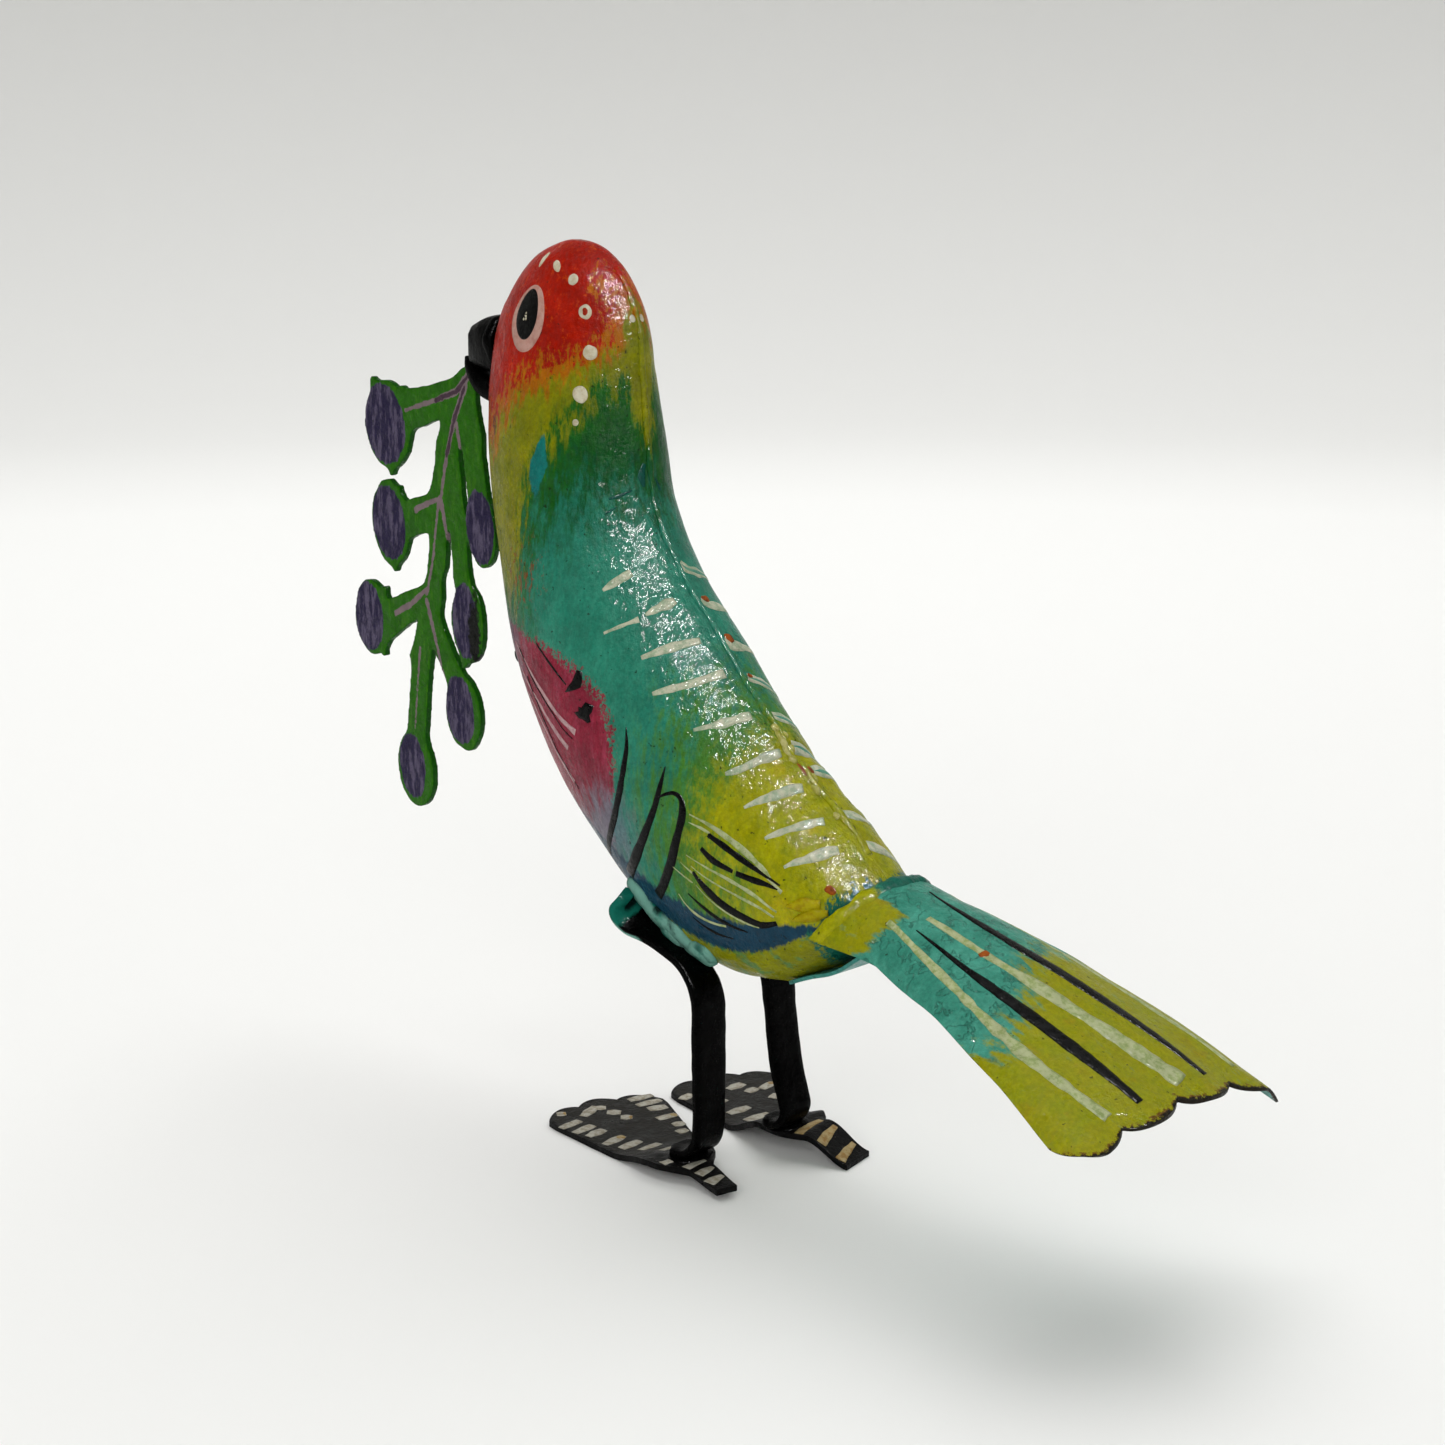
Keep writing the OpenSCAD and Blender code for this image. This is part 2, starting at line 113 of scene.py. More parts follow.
def add_mesh(name, points, faces, material, marks=None, replaces=(), bevel=0.0):
    """A piece that rides on the root body. Points are in the bird's own frame, in mm."""
    mesh = bpy.data.meshes.new(name)
    mesh.from_pydata([tuple(p) for p in shared(points)], [], faces)
    mesh.validate()
    for key, values in (marks or {}).items():
        layer = mesh.attributes.new(key, "FLOAT", "POINT")
        layer.data.foreach_set("value", np.asarray(values, np.float32).ravel())
    mesh.polygons.foreach_set("use_smooth", [True] * len(mesh.polygons))
    mesh.update()
    piece = bpy.data.objects.new(name, mesh)
    bpy.context.scene.collection.objects.link(piece)
    mesh.materials.append(material)
    if bevel:
        m = piece.modifiers.new("edge", "BEVEL")
        m.width = bevel / 1000
        m.segments = 2
        m.limit_method = "ANGLE"
        m.angle_limit = math.radians(45)
        m.harden_normals = True
    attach(piece, "root")
    if replaces:
        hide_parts(*replaces)
    return piece


def outward(points, faces):
    """The same faces, turned so that the closed mesh encloses a positive volume."""
    p = np.asarray(points, float)
    total = 0.0
    for f in faces:
        for i in range(1, len(f) - 1):
            total += np.dot(p[f[0]], np.cross(p[f[i]], p[f[i + 1]]))
    return faces if total > 0 else [tuple(reversed(f)) for f in faces]


def grid_faces(rows, cols, start=0, flip=False, wrap=False):
    faces = []
    for i in range(rows - 1):
        for j in range(cols if wrap else cols - 1):
            k = (j + 1) % cols
            a, b = start + i * cols + j, start + i * cols + k
            c, d = start + (i + 1) * cols + k, start + (i + 1) * cols + j
            faces.append((a, d, c, b) if flip else (a, b, c, d))
    return faces


def sheet(top, bottom):
    """A closed sheet from two grids of points of the same shape."""
    rows, cols = top.shape[:2]
    n = rows * cols
    points = np.concatenate([top.reshape(-1, 3), bottom.reshape(-1, 3)])
    faces = grid_faces(rows, cols) + grid_faces(rows, cols, n, flip=True)
    rim = list(range(cols)) + [i * cols + cols - 1 for i in range(1, rows)]
    rim += [(rows - 1) * cols + j for j in range(cols - 2, -1, -1)]
    rim += [i * cols for i in range(rows - 2, 0, -1)]
    for a, b in zip(rim, rim[1:] + rim[:1]):
        faces.append((b, a, a + n, b + n))
    return points, outward(points, faces)


def tube(rings):
    """A closed solid from rings of points, with its ends closed by a point in the middle of each."""
    rings = np.asarray(rings, float)
    n, m = rings.shape[:2]
    points = np.concatenate([rings.reshape(-1, 3), rings[0].mean(0)[None], rings[-1].mean(0)[None]])
    faces = grid_faces(n, m, wrap=True)
    for j in range(m):
        k = (j + 1) % m
        faces.append((k, j, n * m))
        faces.append(((n - 1) * m + j, (n - 1) * m + k, n * m + 1))
    return points, outward(points, faces)


def join(solids):
    points, faces, start = [], [], 0
    for p, f in solids:
        points.append(np.asarray(p))
        faces += [tuple(i + start for i in face) for face in f]
        start += len(p)
    return np.concatenate(points), faces


# ---------- Surfaces ----------

# Body stations from crown to rump: centre y, centre z, half depth, half width
STATIONS = [
    [-28.1, 115.3, 0.5, 0.8], [-28.3, 112.8, 6.8, 3.9], [-29.0, 106.5, 11.6, 6.4], [-29.9, 99.0, 13.1, 8.0],
    [-29.5, 90.0, 13.5, 9.5], [-27.5, 79.5, 13.5, 10.5], [-23.5, 68.5, 15.0, 11.5],
    [-16.5, 58.0, 16.5, 12.0], [-8.0, 49.0, 16.5, 11.5], [0.5, 42.5, 16.0, 10.5], [8.5, 40.0, 14.0, 10.0],
    [17.5, 39.0, 9.0, 8.5], [27.5, 38.5, 1.5, 4.0],
]
RUMP = len(STATIONS) - 1


def body(u, deg, off=0.0, dents=True):
    """Points of the body at station u and angle deg from the back seam, positive on the bird's left."""
    u, deg = np.broadcast_arrays(np.asarray(u, float), np.asarray(deg, float))
    s = catmull(STATIONS, u)
    a, b = catmull(STATIONS, u - 0.05), catmull(STATIONS, u + 0.05)
    run = (b - a)[..., :2]
    back = unit(np.stack([-run[..., 1], run[..., 0]], -1))
    turn = np.radians(np.abs(deg))
    side = np.sign(deg)
    # The crown is round: its width grows with the root of the drop below its top
    fall = np.maximum(0, STATIONS[0][1] - s[..., 1])
    crown = u < 1
    depth = np.where(crown, np.sqrt(18.8 * fall - 0.14 * np.minimum(fall, 3) ** 2), s[..., 2])
    width = np.where(crown, np.sqrt(6.35 * fall - 0.11 * np.minimum(fall, 3) ** 2), s[..., 3])
    depth, width = np.maximum(0.1, depth + off), np.maximum(0.1, width + off)
    x = side * width * np.maximum(0, np.sin(turn)) ** 1.05
    reach = depth * np.cos(turn)
    p = np.stack([x, s[..., 0] + back[..., 0] * reach, s[..., 1] + back[..., 1] * reach], -1)
    if dents:
        axis = np.stack([0 * x, s[..., 0], s[..., 1]], -1)
        ends = np.minimum(1, np.minimum(u, RUMP - u))
        lumps = 0.16 * noise(p, 9, 3) * smooth(0.8, 2.5, u)
        lumps = lumps + 0.06 * noise(p, 3.1, 5) + 0.015 * noise(p, 1.2, 7)
        # The sheet dips a little beside the back seam
        lumps = lumps - 0.1 * smooth(14, 5, np.abs(deg)) * smooth(1, 4, u)
        # Thick wrinkled paint over the rump, and small folds in the sheet behind the neck
        rump = smooth(8.8, 10.4, u) * smooth(95, 45, np.abs(deg))
        lumps = lumps + rump * (0.16 * noise(p, 1.9, 8) + 0.08 * noise(p, 0.9, 9))
        nape = np.exp(-((u - 5.0) / 0.55) ** 2) * smooth(42, 12, np.abs(deg))
        lumps = lumps + nape * 0.22 * noise(p * np.array([0.6, 1, 1]), 2.4, 10)
        p = p + unit(p - axis) * (lumps * ends)[..., None]
    return p


TAIL_ROOT, TAIL_LEN, TAIL_END_W, TAIL_WAIST_W, TAIL_T = 26.5, 41.0, 37.0, 16.5, 0.5
SHELL_T, FOOT_T = 0.6, 0.8


def tail(s, q, off=0.0):
    """Points of the tail at s from root to end and q from -1 to 1 across it."""
    s, q = np.broadcast_arrays(np.asarray(s, float), np.asarray(q, float))
    scallop = 1.6 * np.abs(np.sin(np.pi * 2 * (q + 1))) ** 0.8
    end = TAIL_ROOT + TAIL_LEN - 1.6 + scallop - 3.6 * np.clip((q - 0.72) / 0.28, 0, 1) ** 2
    end = end + 0.8 * smooth(-0.8, -1.0, q)
    root = TAIL_ROOT - 4.5 * q * q
    y = root + s * (end - root)
    far = (y - TAIL_ROOT - 4) / (TAIL_LEN - 4)
    half = TAIL_WAIST_W / 2 + np.maximum(0, far) * (TAIL_END_W - TAIL_WAIST_W) / 2
    half = half - 3.2 * np.minimum(0, far) + off
    drop = np.where(far < 0, 4.8 - 4.0 * far, 4.8 - 2.4 * far) + off
    twist = 1.0 - 1.7 * np.maximum(0, far) ** 2
    spread = np.radians(80 - 38 * np.clip(far, 0, 1))
    run = (y - TAIL_ROOT) / TAIL_LEN
    crown = 41.9 - 0.4 * (y - TAIL_ROOT) + 7.2 * run * (1 - run)
    x = half * np.sin(q * spread) / np.sin(spread)
    z = crown + off - drop * (1 - np.cos(q * spread)) / (1 - np.cos(spread)) - twist * q * np.abs(q)
    # Shallow flutes run to the scallops, and hand-bent waves show along the edges
    flute = 0.22 * smooth(0.35, 1.0, s) * np.cos(4 * np.pi * q + np.pi)
    wave = 0.25 * smooth(0.5, 1.0, np.abs(q)) * noise(np.stack([0 * y, y, 0 * y], -1), 7, 11)
    curl = -1.3 * smooth(-0.8, -1.0, q) * smooth(0.6, 1.0, s)
    curl = curl - 0.7 * smooth(0.86, 1.0, q) * smooth(0.75, 1.0, s)
    p = np.stack([x, y, z + flute + wave + curl], -1)
    p[..., 2] += 0.1 * noise(p, 6, 13) + 0.03 * noise(p, 2, 14)
    return p


def slopes(surface, a, b):
    """How a point of a surface moves with each of its two coordinates."""
    da, db = (0.004, 0.4) if surface is body else (0.05, 0.05)
    return ((surface(a + da, b, 0) - surface(a - da, b, 0)) / (2 * da),
            (surface(a, b + db, 0) - surface(a, b - db, 0)) / (2 * db))


def moved(du, dv, shift):
    """The changes in a surface's two coordinates that move its point by shift."""
    uu, vv, uv = (du * du).sum(-1), (dv * dv).sum(-1), (du * dv).sum(-1)
    su, sv = (shift * du).sum(-1), (shift * dv).sum(-1)
    det = uu * vv - uv * uv
    return (su * vv - sv * uv) / det, (sv * uu - su * uv) / det


def raised(surface, a, b, up):
    """Points that stand up mm over a surface."""
    n = unit(np.cross(*slopes(surface, a, b)))
    base = surface(a, b, 0)
    out = ((surface(a, b, 0.2) - base) * n).sum(-1)
    return base + n * np.sign(out)[..., None] * up


def stroke(surface, line, width, height=0.07, taper=(0.6, 1.0, 0.6), steps=28, wobble=0.12, seed=1):
    """A raised brush stroke that follows a surface. Line holds surface coordinates, and width is in mm."""
    t = np.linspace(0, len(line) - 1, steps)
    a, b = catmull(line, t).T
    middle = surface(a, b, 0)
    du, dv = slopes(surface, a, b)
    side = unit(np.cross(unit(np.gradient(middle, axis=0)), unit(np.cross(du, dv))))
    half = width / 2 * np.interp(t / t[-1], np.linspace(0, 1, len(taper)), taper)
    half = half * (1 + wobble * noise(middle + seed, 1.3, seed))
    rings = []
    over_top = [(k, height * (1 - 0.75 * k ** 4)) for k in (-1, -0.5, 0, 0.5, 1)]
    for k, up in over_top + [(1, -0.05), (0, -0.05), (-1, -0.05)]:
        over, along = moved(du, dv, side * (half * k)[:, None])
        rings.append(raised(surface, a + over, b + along, up))
    return tube(np.stack(rings, 1))


def patch(surface, centre, outline, height=0.07, rings=6, turn=0.0):
    """A raised patch of paint. Outline holds points in mm round its centre: x across, y down the surface."""
    c, s = math.cos(math.radians(turn)), math.sin(math.radians(turn))
    outline = np.asarray(outline, float) @ np.array([[c, s], [-s, c]])
    a, b = float(centre[0]), float(centre[1])
    du, dv = slopes(surface, a, b)
    down = unit(du)
    over = unit(dv - down * (dv * down).sum())
    layers = []
    over_top = [(i / rings, height * (1 - 0.8 * (i / rings) ** 6)) for i in range(1, rings + 1)]
    for r, up in over_top + [(1.0, -0.06), (0.5, -0.06)]:
        da, db = moved(du, dv, over * (outline[:, :1] * r) + down * (outline[:, 1:] * r))
        layers.append(raised(surface, a + da, b + db, up))
    return tube(layers)


def circle(count, start=0.0):
    return 2 * np.pi * (np.arange(count) + start) / count


def soft_square(count, power, start=0.0):
    """Points round a square with soft corners that reaches from -1 to 1."""
    c, s = np.cos(circle(count, start)), np.sin(circle(count, start))
    r = (np.abs(c) ** power + np.abs(s) ** power) ** (-1 / power)
    return np.stack([c * r, s * r], -1)


def oval(w, h, points=28, rough=0.05, seed=0):
    t = circle(points)
    r = 1 + rough * noise(np.stack([np.cos(t), np.sin(t), 0 * t + seed], -1) * 1.5, 1, seed)
    return np.stack([w / 2 * np.cos(t) * r, h / 2 * np.sin(t) * r], -1)


# ---------- Materials ----------

def srgb(r, g, b):
    def line(c):
        c = c / 255
        return c / 12.92 if c <= 0.04045 else ((c + 0.055) / 1.055) ** 2.4
    return (line(r), line(g), line(b), 1.0)


class Nodes:
    """A node material round one Principled shader, with short names for the nodes that it uses."""

    def __init__(self, name):
        self.m = bpy.data.materials.new(name)
        self.m.use_nodes = True
        self.t = self.m.node_tree
        self.shader = self.t.nodes["Principled BSDF"]
        self.place = self.node("ShaderNodeTexCoord").outputs["Object"]

    def node(self, kind, inputs=None, **values):
        """A node with its values set. Inputs that are sockets are linked, and None leaves one as it is."""
        n = self.t.nodes.new(kind)
        for key, value in values.items():
            setattr(n, key, value)
        for key, value in (inputs or {}).items():
            self.put(n.inputs[key], value)
        return n

    def put(self, socket, value):
        if isinstance(value, bpy.types.NodeSocket):
            self.t.links.new(value, socket)
        elif value is not None:
            socket.default_value = value

    def noise(self, size, detail, roughness, stretch=None, distortion=0.0):
        """Noise with features about size metres across."""
        place = self.place
        if stretch:
            place = self.node("ShaderNodeMapping", {"Vector": place, "Scale": stretch}).outputs[0]
        inputs = {"Vector": place, "Scale": 1 / size, "Detail": detail, "Roughness": roughness,
            "Distortion": distortion}
        return self.node("ShaderNodeTexNoise", inputs).outputs["Fac"]

    def math(self, op, *values, clamp=False):
        return self.node("ShaderNodeMath", dict(enumerate(values)), operation=op, use_clamp=clamp).outputs[0]

    def times(self, a, b):
        return self.math("MULTIPLY", a, b)

    def ramp(self, value, low, high, out_low=0.0, out_high=1.0, kind="SMOOTHSTEP"):
        inputs = {"Value": value, "From Min": low, "From Max": high, "To Min": out_low, "To Max": out_high}
        return self.node("ShaderNodeMapRange", inputs, interpolation_type=kind).outputs["Result"]

    def blots(self, size, detail, roughness, *limits, **noise):
        """Noise put through a ramp."""
        return self.ramp(self.noise(size, detail, roughness, **noise), *limits)

    def mixed(self, factor, a, b):
        return self.node("ShaderNodeMix", {"Factor": factor, "A": a, "B": b},
            data_type="RGBA").outputs["Result"]

    def bump(self, height, strength, distance, socket="Normal"):
        bumped = self.node("ShaderNodeBump", {"Strength": strength, "Distance": distance, "Height": height})
        self.put(self.shader.inputs[socket], bumped.outputs[0])


class Paint(Nodes):
    """A procedural paint, built up in layers of colour."""

    def __init__(self, name, colour, rough, coat, coat_rough, bump, grain, specular=0.03):
        super().__init__(name)
        self.put(self.shader.inputs["Coat Weight"], coat)
        self.put(self.shader.inputs["Coat Roughness"], coat_rough)
        self.put(self.shader.inputs["Specular IOR Level"], specular)
        base = self.node("ShaderNodeRGB")
        base.outputs[0].default_value = srgb(*colour)
        self.colour = base.outputs[0]
        self.rough, self.strength, self.grain = rough, bump, grain

    def mark(self, name):
        return self.node("ShaderNodeAttribute", attribute_name=name).outputs["Fac"]

    def layer(self, mask, colour, share=None):
        """Lays an sRGB colour over what is there, where mask, times share, is 1."""
        if share is not None:
            mask = self.times(mask, share)
        self.colour = self.mixed(mask, self.colour, srgb(*colour))

    def shade(self, size, detail, roughness, low, high, dark, light):
        """Multiplies the colour by dark to light as noise goes from low to high."""
        factor = self.blots(size, detail, roughness, low, high, dark, light)
        self.colour = self.node("ShaderNodeVectorMath", {0: self.colour, "Scale": factor},
            operation="SCALE").outputs[0]

    def speckle(self, name, dust, spread, soft):
        """A mask that breaks up into specks across the edge of a mark. Dust is noise from 0 to 1."""
        mark = self.mark(name)
        room = self.math("MULTIPLY", self.times(mark, self.math("SUBTRACT", 1.0, mark)), 4.0, clamp=True)
        value = self.math("MULTIPLY_ADD", self.times(self.math("SUBTRACT", dust, 0.5), spread), room, mark)
        return self.ramp(value, 0.5 - soft, 0.5 + soft)

    def ragged(self, name, fine, gain, amount):
        """A mask with a speckled edge: a mark, sharpened and broken up by noise."""
        w = self.math("MULTIPLY_ADD", self.math("SUBTRACT", self.mark(name), 0.5), gain, 0.5)
        return self.math("ADD", w, self.times(self.math("SUBTRACT", fine, 0.5), amount * gain), clamp=True)

    def inside(self, name, rough, amount, high):
        """A mask for a mark that holds the distance inside a painted shape, in mm."""
        return self.ramp(self.math("MULTIPLY_ADD", self.math("SUBTRACT", rough, 0.5), amount,
            self.mark(name)), -0.04, high)

    def specks(self, size, share, colour, strength):
        self.layer(self.blots(size, 2.0, 0.5, 1 - share, 1 - share + 0.03, 0.0, strength), colour)

    def done(self, rough_spread, extra_bump=None):
        r = self.blots(0.002, 3.0, 0.6, 0.3, 0.7, max(0.02, self.rough - rough_spread),
            self.rough + rough_spread)
        self.put(self.shader.inputs["Roughness"], r)
        self.put(self.shader.inputs["Base Color"], self.colour)
        height = self.math("MULTIPLY_ADD", self.noise(self.grain * 5, 3.0, 0.5), 1.6,
            self.noise(self.grain, 5.0, 0.65))
        # The clear coat is smoother than the paint under it, with a slow orange peel of its own
        peel = self.math("ADD", self.noise(0.0017, 1.5, 0.5), self.times(self.noise(0.0005, 2.0, 0.5), 0.12))
        if extra_bump is not None:
            height = self.math("ADD", height, extra_bump)
            peel = self.math("MULTIPLY_ADD", extra_bump, 0.12, peel)
        self.bump(height, self.strength, 0.0002)
        self.bump(peel, 0.8, 0.0006, "Coat Normal")
        return self.m


def body_paint():
    p = Paint("bird_enamel", (34, 118, 96), 0.34, coat=0.16, coat_rough=0.03, bump=0.7, grain=0.0004)
    dust = p.blots(0.0008, 6.0, 0.75, 0.34, 0.66, stretch=(1.0, 1.0, 0.45), distortion=0.3)
    brush = p.blots(0.0016, 6.0, 0.7, 0.32, 0.68, stretch=(1.5, 1.5, 0.35))
    cloud = p.blots(0.006, 4.0, 0.65, 0.34, 0.68)
    patchy = p.blots(0.0028, 6.0, 0.75, 0.38, 0.66)
    # Teal, with paler and greener strokes in it
    p.layer(cloud, (28, 104, 84), 0.6)
    p.layer(brush, (62, 142, 118), 0.35)
    p.layer(p.speckle("neck", brush, 0.5, 0.35), (3, 66, 26))
    p.layer(p.speckle("neck", brush, 0.5, 0.3), (10, 88, 22), p.times(patchy, 0.5))
    # Olive yellow below the head, fading through a leafy green
    p.layer(p.speckle("halo", brush, 0.5, 0.4), (30, 90, 12), 0.8)
    olive = p.speckle("olive", brush, 0.75, 0.3)
    p.layer(olive, (134, 128, 4))
    p.layer(olive, (92, 100, 2), p.times(patchy, 0.55))
    p.layer(olive, (60, 100, 8), p.times(p.speckle("neck", dust, 0.9, 0.2), 0.2))
    # Red head, dabbed thinly over the olive
    orange = p.speckle("orange", brush, 0.9, 0.25)
    p.layer(orange, (166, 76, 2), 0.75)
    red = p.speckle("red", dust, 0.85, 0.14)
    p.layer(red, (162, 24, 3))
    p.layer(red, (122, 10, 2), p.times(cloud, 0.5))
    p.layer(red, (186, 72, 8), p.blots(0.0012, 5.0, 0.75, 0.56, 0.68, 0.0, 0.6))
    # Painted highlight: gold flecks over the crown, where the head's glints fall
    p.layer(p.speckle("gold_glint_flecks", dust, 1.2, 0.12), (176, 108, 10), 0.7)
    p.layer(p.speckle("smear", dust, 0.6, 0.2), (64, 34, 6), 0.8)
    # Greens and lime on the lower back
    p.layer(p.speckle("green", brush, 0.7, 0.4), (62, 112, 18), 0.9)
    lime = p.speckle("lime", p.math("MULTIPLY_ADD", p.noise(0.0005, 4.0, 0.8), 0.5, p.times(dust, 0.5)),
        0.7, 0.3)
    p.layer(lime, (152, 150, 3))
    p.layer(lime, (112, 126, 3), p.times(patchy, 0.55))
    p.layer(lime, (172, 150, 4), p.blots(0.0045, 5.0, 0.7, 0.55, 0.7, 0.0, 0.5))
    # Pink breast, misty below, with the blue stroke and the yellow belly behind it
    fine = p.blots(0.0005, 4.0, 0.8, 0.36, 0.64)
    pink = p.speckle("pink", p.math("MULTIPLY_ADD", fine, 0.6, p.times(dust, 0.4)), 0.9, 0.15)
    p.layer(pink, (130, 30, 50))
    p.layer(pink, (104, 24, 42), p.times(cloud, 0.55))
    p.layer(pink, (160, 62, 86), p.ramp(brush, 0.55, 0.95, 0.0, 0.35))
    p.layer(p.speckle("mist", brush, 0.5, 0.4), (92, 110, 122), 0.75)
    p.layer(p.speckle("blue", brush, 0.5, 0.22), (14, 54, 74))
    belly = p.speckle("belly", dust, 0.7, 0.2)
    p.layer(belly, (124, 126, 8))
    p.layer(belly, (54, 124, 84), p.blots(0.003, 5.0, 0.75, 0.52, 0.62, 0.0, 0.65))
    p.layer(p.speckle("groove", dust, 0.8, 0.2), (16, 92, 76))
    p.layer(p.speckle("chip", dust, 0.35, 0.12), (14, 104, 98))
    p.layer(p.speckle("blush", dust, 0.8, 0.08), (132, 50, 24), 0.7)
    # Painted shadow: a dark line in the corner beside the back seam bead
    p.layer(p.speckle("shadow", dust, 0.8, 0.3), (34, 40, 8), 0.75)
    p.shade(0.0035, 5.0, 0.65, 0.28, 0.72, 0.84, 1.14)
    p.shade(0.0006, 4.0, 0.75, 0.32, 0.7, 0.82, 1.14)
    p.specks(0.0007, 0.3, (14, 18, 10), 0.75)
    return p.done(0.12, extra_bump=p.times(p.noise(0.0011, 3.0, 0.6, stretch=(1.6, 1.6, 0.6)), 1.5))


def tail_paint():
    p = Paint("tail_enamel", (52, 132, 112), 0.36, coat=0.14, coat_rough=0.04, bump=0.9, grain=0.0005)
    dust = p.blots(0.0009, 6.0, 0.75, 0.34, 0.66, distortion=0.3)
    brush = p.blots(0.0018, 6.0, 0.7, 0.32, 0.68, stretch=(1.6, 0.45, 1.0))
    patchy = p.blots(0.003, 6.0, 0.7, 0.38, 0.66)
    p.layer(patchy, (74, 146, 128), 0.5)
    lime = p.speckle("lime", brush, 0.7, 0.25)
    p.layer(lime, (146, 144, 4))
    p.layer(lime, (106, 118, 8), p.times(patchy, 0.6))
    p.layer(lime, (150, 120, 12), p.blots(0.004, 5.0, 0.7, 0.55, 0.72, 0.0, 0.5))
    p.layer(p.ragged("under", brush, 3.0, 0.8), (60, 134, 124))
    p.layer(p.speckle("rust", dust, 1.0, 0.15), (92, 44, 8), 0.85)
    p.layer(p.speckle("edge", dust, 0.6, 0.15), (24, 18, 6))
    p.shade(0.003, 5.0, 0.65, 0.28, 0.72, 0.84, 1.12)
    p.shade(0.0006, 4.0, 0.75, 0.32, 0.7, 0.84, 1.12)
    p.specks(0.0007, 0.3, (20, 18, 8), 0.75)
    crack = p.math("ABSOLUTE", p.math("SUBTRACT", p.noise(0.005, 5.0, 0.6), 0.5))
    crack = p.times(p.ramp(crack, 0.0, 0.01, -1.3, 0.0), p.math("SUBTRACT", 1.0, lime))
    return p.done(0.12, extra_bump=crack)


def gloss_black(name="gloss_black", colour=(2, 2, 2), rough=0.22, teal=False):
    p = Paint(name, colour, rough, coat=0.035, coat_rough=0.03, bump=0.5, grain=0.0006, specular=0.01)
    p.layer(p.blots(0.003, 4.0, 0.6, 0.5, 0.8, 0.0, 0.6), (8, 8, 8))
    if teal:
        p.layer(p.ragged("teal", p.noise(0.001, 5.0, 0.7), 2.6, 1.2), (18, 96, 82))
        # Pale teal: a painted highlight on the upper face of each leg just past its curled end; on the hip
        # pads it is mottling
        p.layer(p.ragged("pale", p.noise(0.0012, 5.0, 0.7), 2.6, 1.2), (104, 152, 138))
        # Dark teal: painted shade in the hollow of each curled end; on the hip pads it is mottling
        p.layer(p.ragged("dark", p.noise(0.0012, 5.0, 0.7), 2.6, 1.0), (8, 26, 24))
    p.specks(0.0007, 0.25, (40, 40, 36), 0.25)
    return p.done(0.1)


def stroke_paint(name, colour, second, rough, amount):
    p = Paint(name, colour, rough, coat=0.1, coat_rough=0.05, bump=0.6, grain=0.0003)
    p.layer(p.blots(0.0009, 5.0, 0.7, 0.42, 0.62, 0.0, amount), second)
    p.shade(0.002, 4.0, 0.6, 0.3, 0.7, 0.88, 1.08)
    return p.done(0.12)


def foot_paint():
    p = Paint("foot_enamel", (26, 25, 23), 0.42, coat=0.06, coat_rough=0.1, bump=0.7, grain=0.0005,
        specular=0.04)
    p.layer(p.blots(0.002, 5.0, 0.7, 0.42, 0.7, 0.0, 0.8), (44, 42, 38))
    p.layer(p.ragged("edge", p.noise(0.0008, 4.0, 0.7), 3.0, 1.0), (4, 4, 4))
    p.specks(0.0005, 0.3, (90, 86, 78), 0.4)
    return p.done(0.15)


def leaf_paint():
    p = Paint("leaf_enamel", (34, 92, 1), 0.3, coat=0.1, coat_rough=0.05, bump=0.6, grain=0.0005)
    dust = p.blots(0.0008, 5.0, 0.7, 0.34, 0.66)
    brush = p.blots(0.0014, 5.0, 0.7, 0.32, 0.68, stretch=(1.0, 1.6, 0.4))
    p.layer(p.blots(0.0035, 5.0, 0.65, 0.45, 0.7), (28, 82, 2))
    p.layer(p.ramp(brush, 0.6, 1.0), (58, 112, 10), 0.5)
    # Darker green round the cut edges: partly the edges' own paint, partly painted shade on the side walls
    p.layer(p.speckle("rim", dust, 0.5, 0.2), (16, 70, 4))
    grape = p.inside("grape_in", brush, 0.3, 0.08)
    p.layer(grape, (34, 28, 56))
    p.layer(grape, (88, 80, 102), p.ramp(brush, 0.35, 0.9, 0.0, 0.75))
    vein = p.inside("vein_in", dust, 0.2, 0.06)
    p.layer(vein, (118, 98, 106), 0.9)
    core = p.inside("core_in", dust, 0.2, 0.08)
    p.layer(core, (48, 26, 44), 0.85)
    # Painted shade: a near-black streak down the side of one fruit that faces the bird
    p.layer(p.speckle("painted_shade_streak", dust, 0.5, 0.2), (5, 8, 4))
    p.shade(0.0012, 5.0, 0.7, 0.3, 0.7, 0.84, 1.14)
    p.specks(0.0006, 0.28, (12, 24, 6), 0.6)
    return p.done(0.12)


BODY = body_paint()
TAIL = tail_paint()
BLACK = gloss_black()
LIMB = gloss_black("limb_enamel", (2, 2, 2), 0.24, teal=True)
FOOT = foot_paint()
LEAF = leaf_paint()
INK = stroke_paint("black_strokes", (5, 5, 5), (14, 16, 14), 0.3, 0.6)
WHITE = stroke_paint("white_strokes", (186, 186, 162), (134, 156, 126), 0.4, 0.85)
FAINT = stroke_paint("faint_strokes", (168, 174, 132), (130, 146, 84), 0.4, 0.9)
WASH = stroke_paint("wash_strokes", (70, 132, 112), (96, 150, 126), 0.4, 0.8)
DOT = stroke_paint("white_dots", (196, 190, 168), (168, 150, 116), 0.4, 0.6)
RING = stroke_paint("eye_ring", (178, 140, 128), (164, 112, 100), 0.4, 0.7)
PUPIL = stroke_paint("eye_black", (4, 4, 4), (12, 13, 12), 0.2, 0.5)
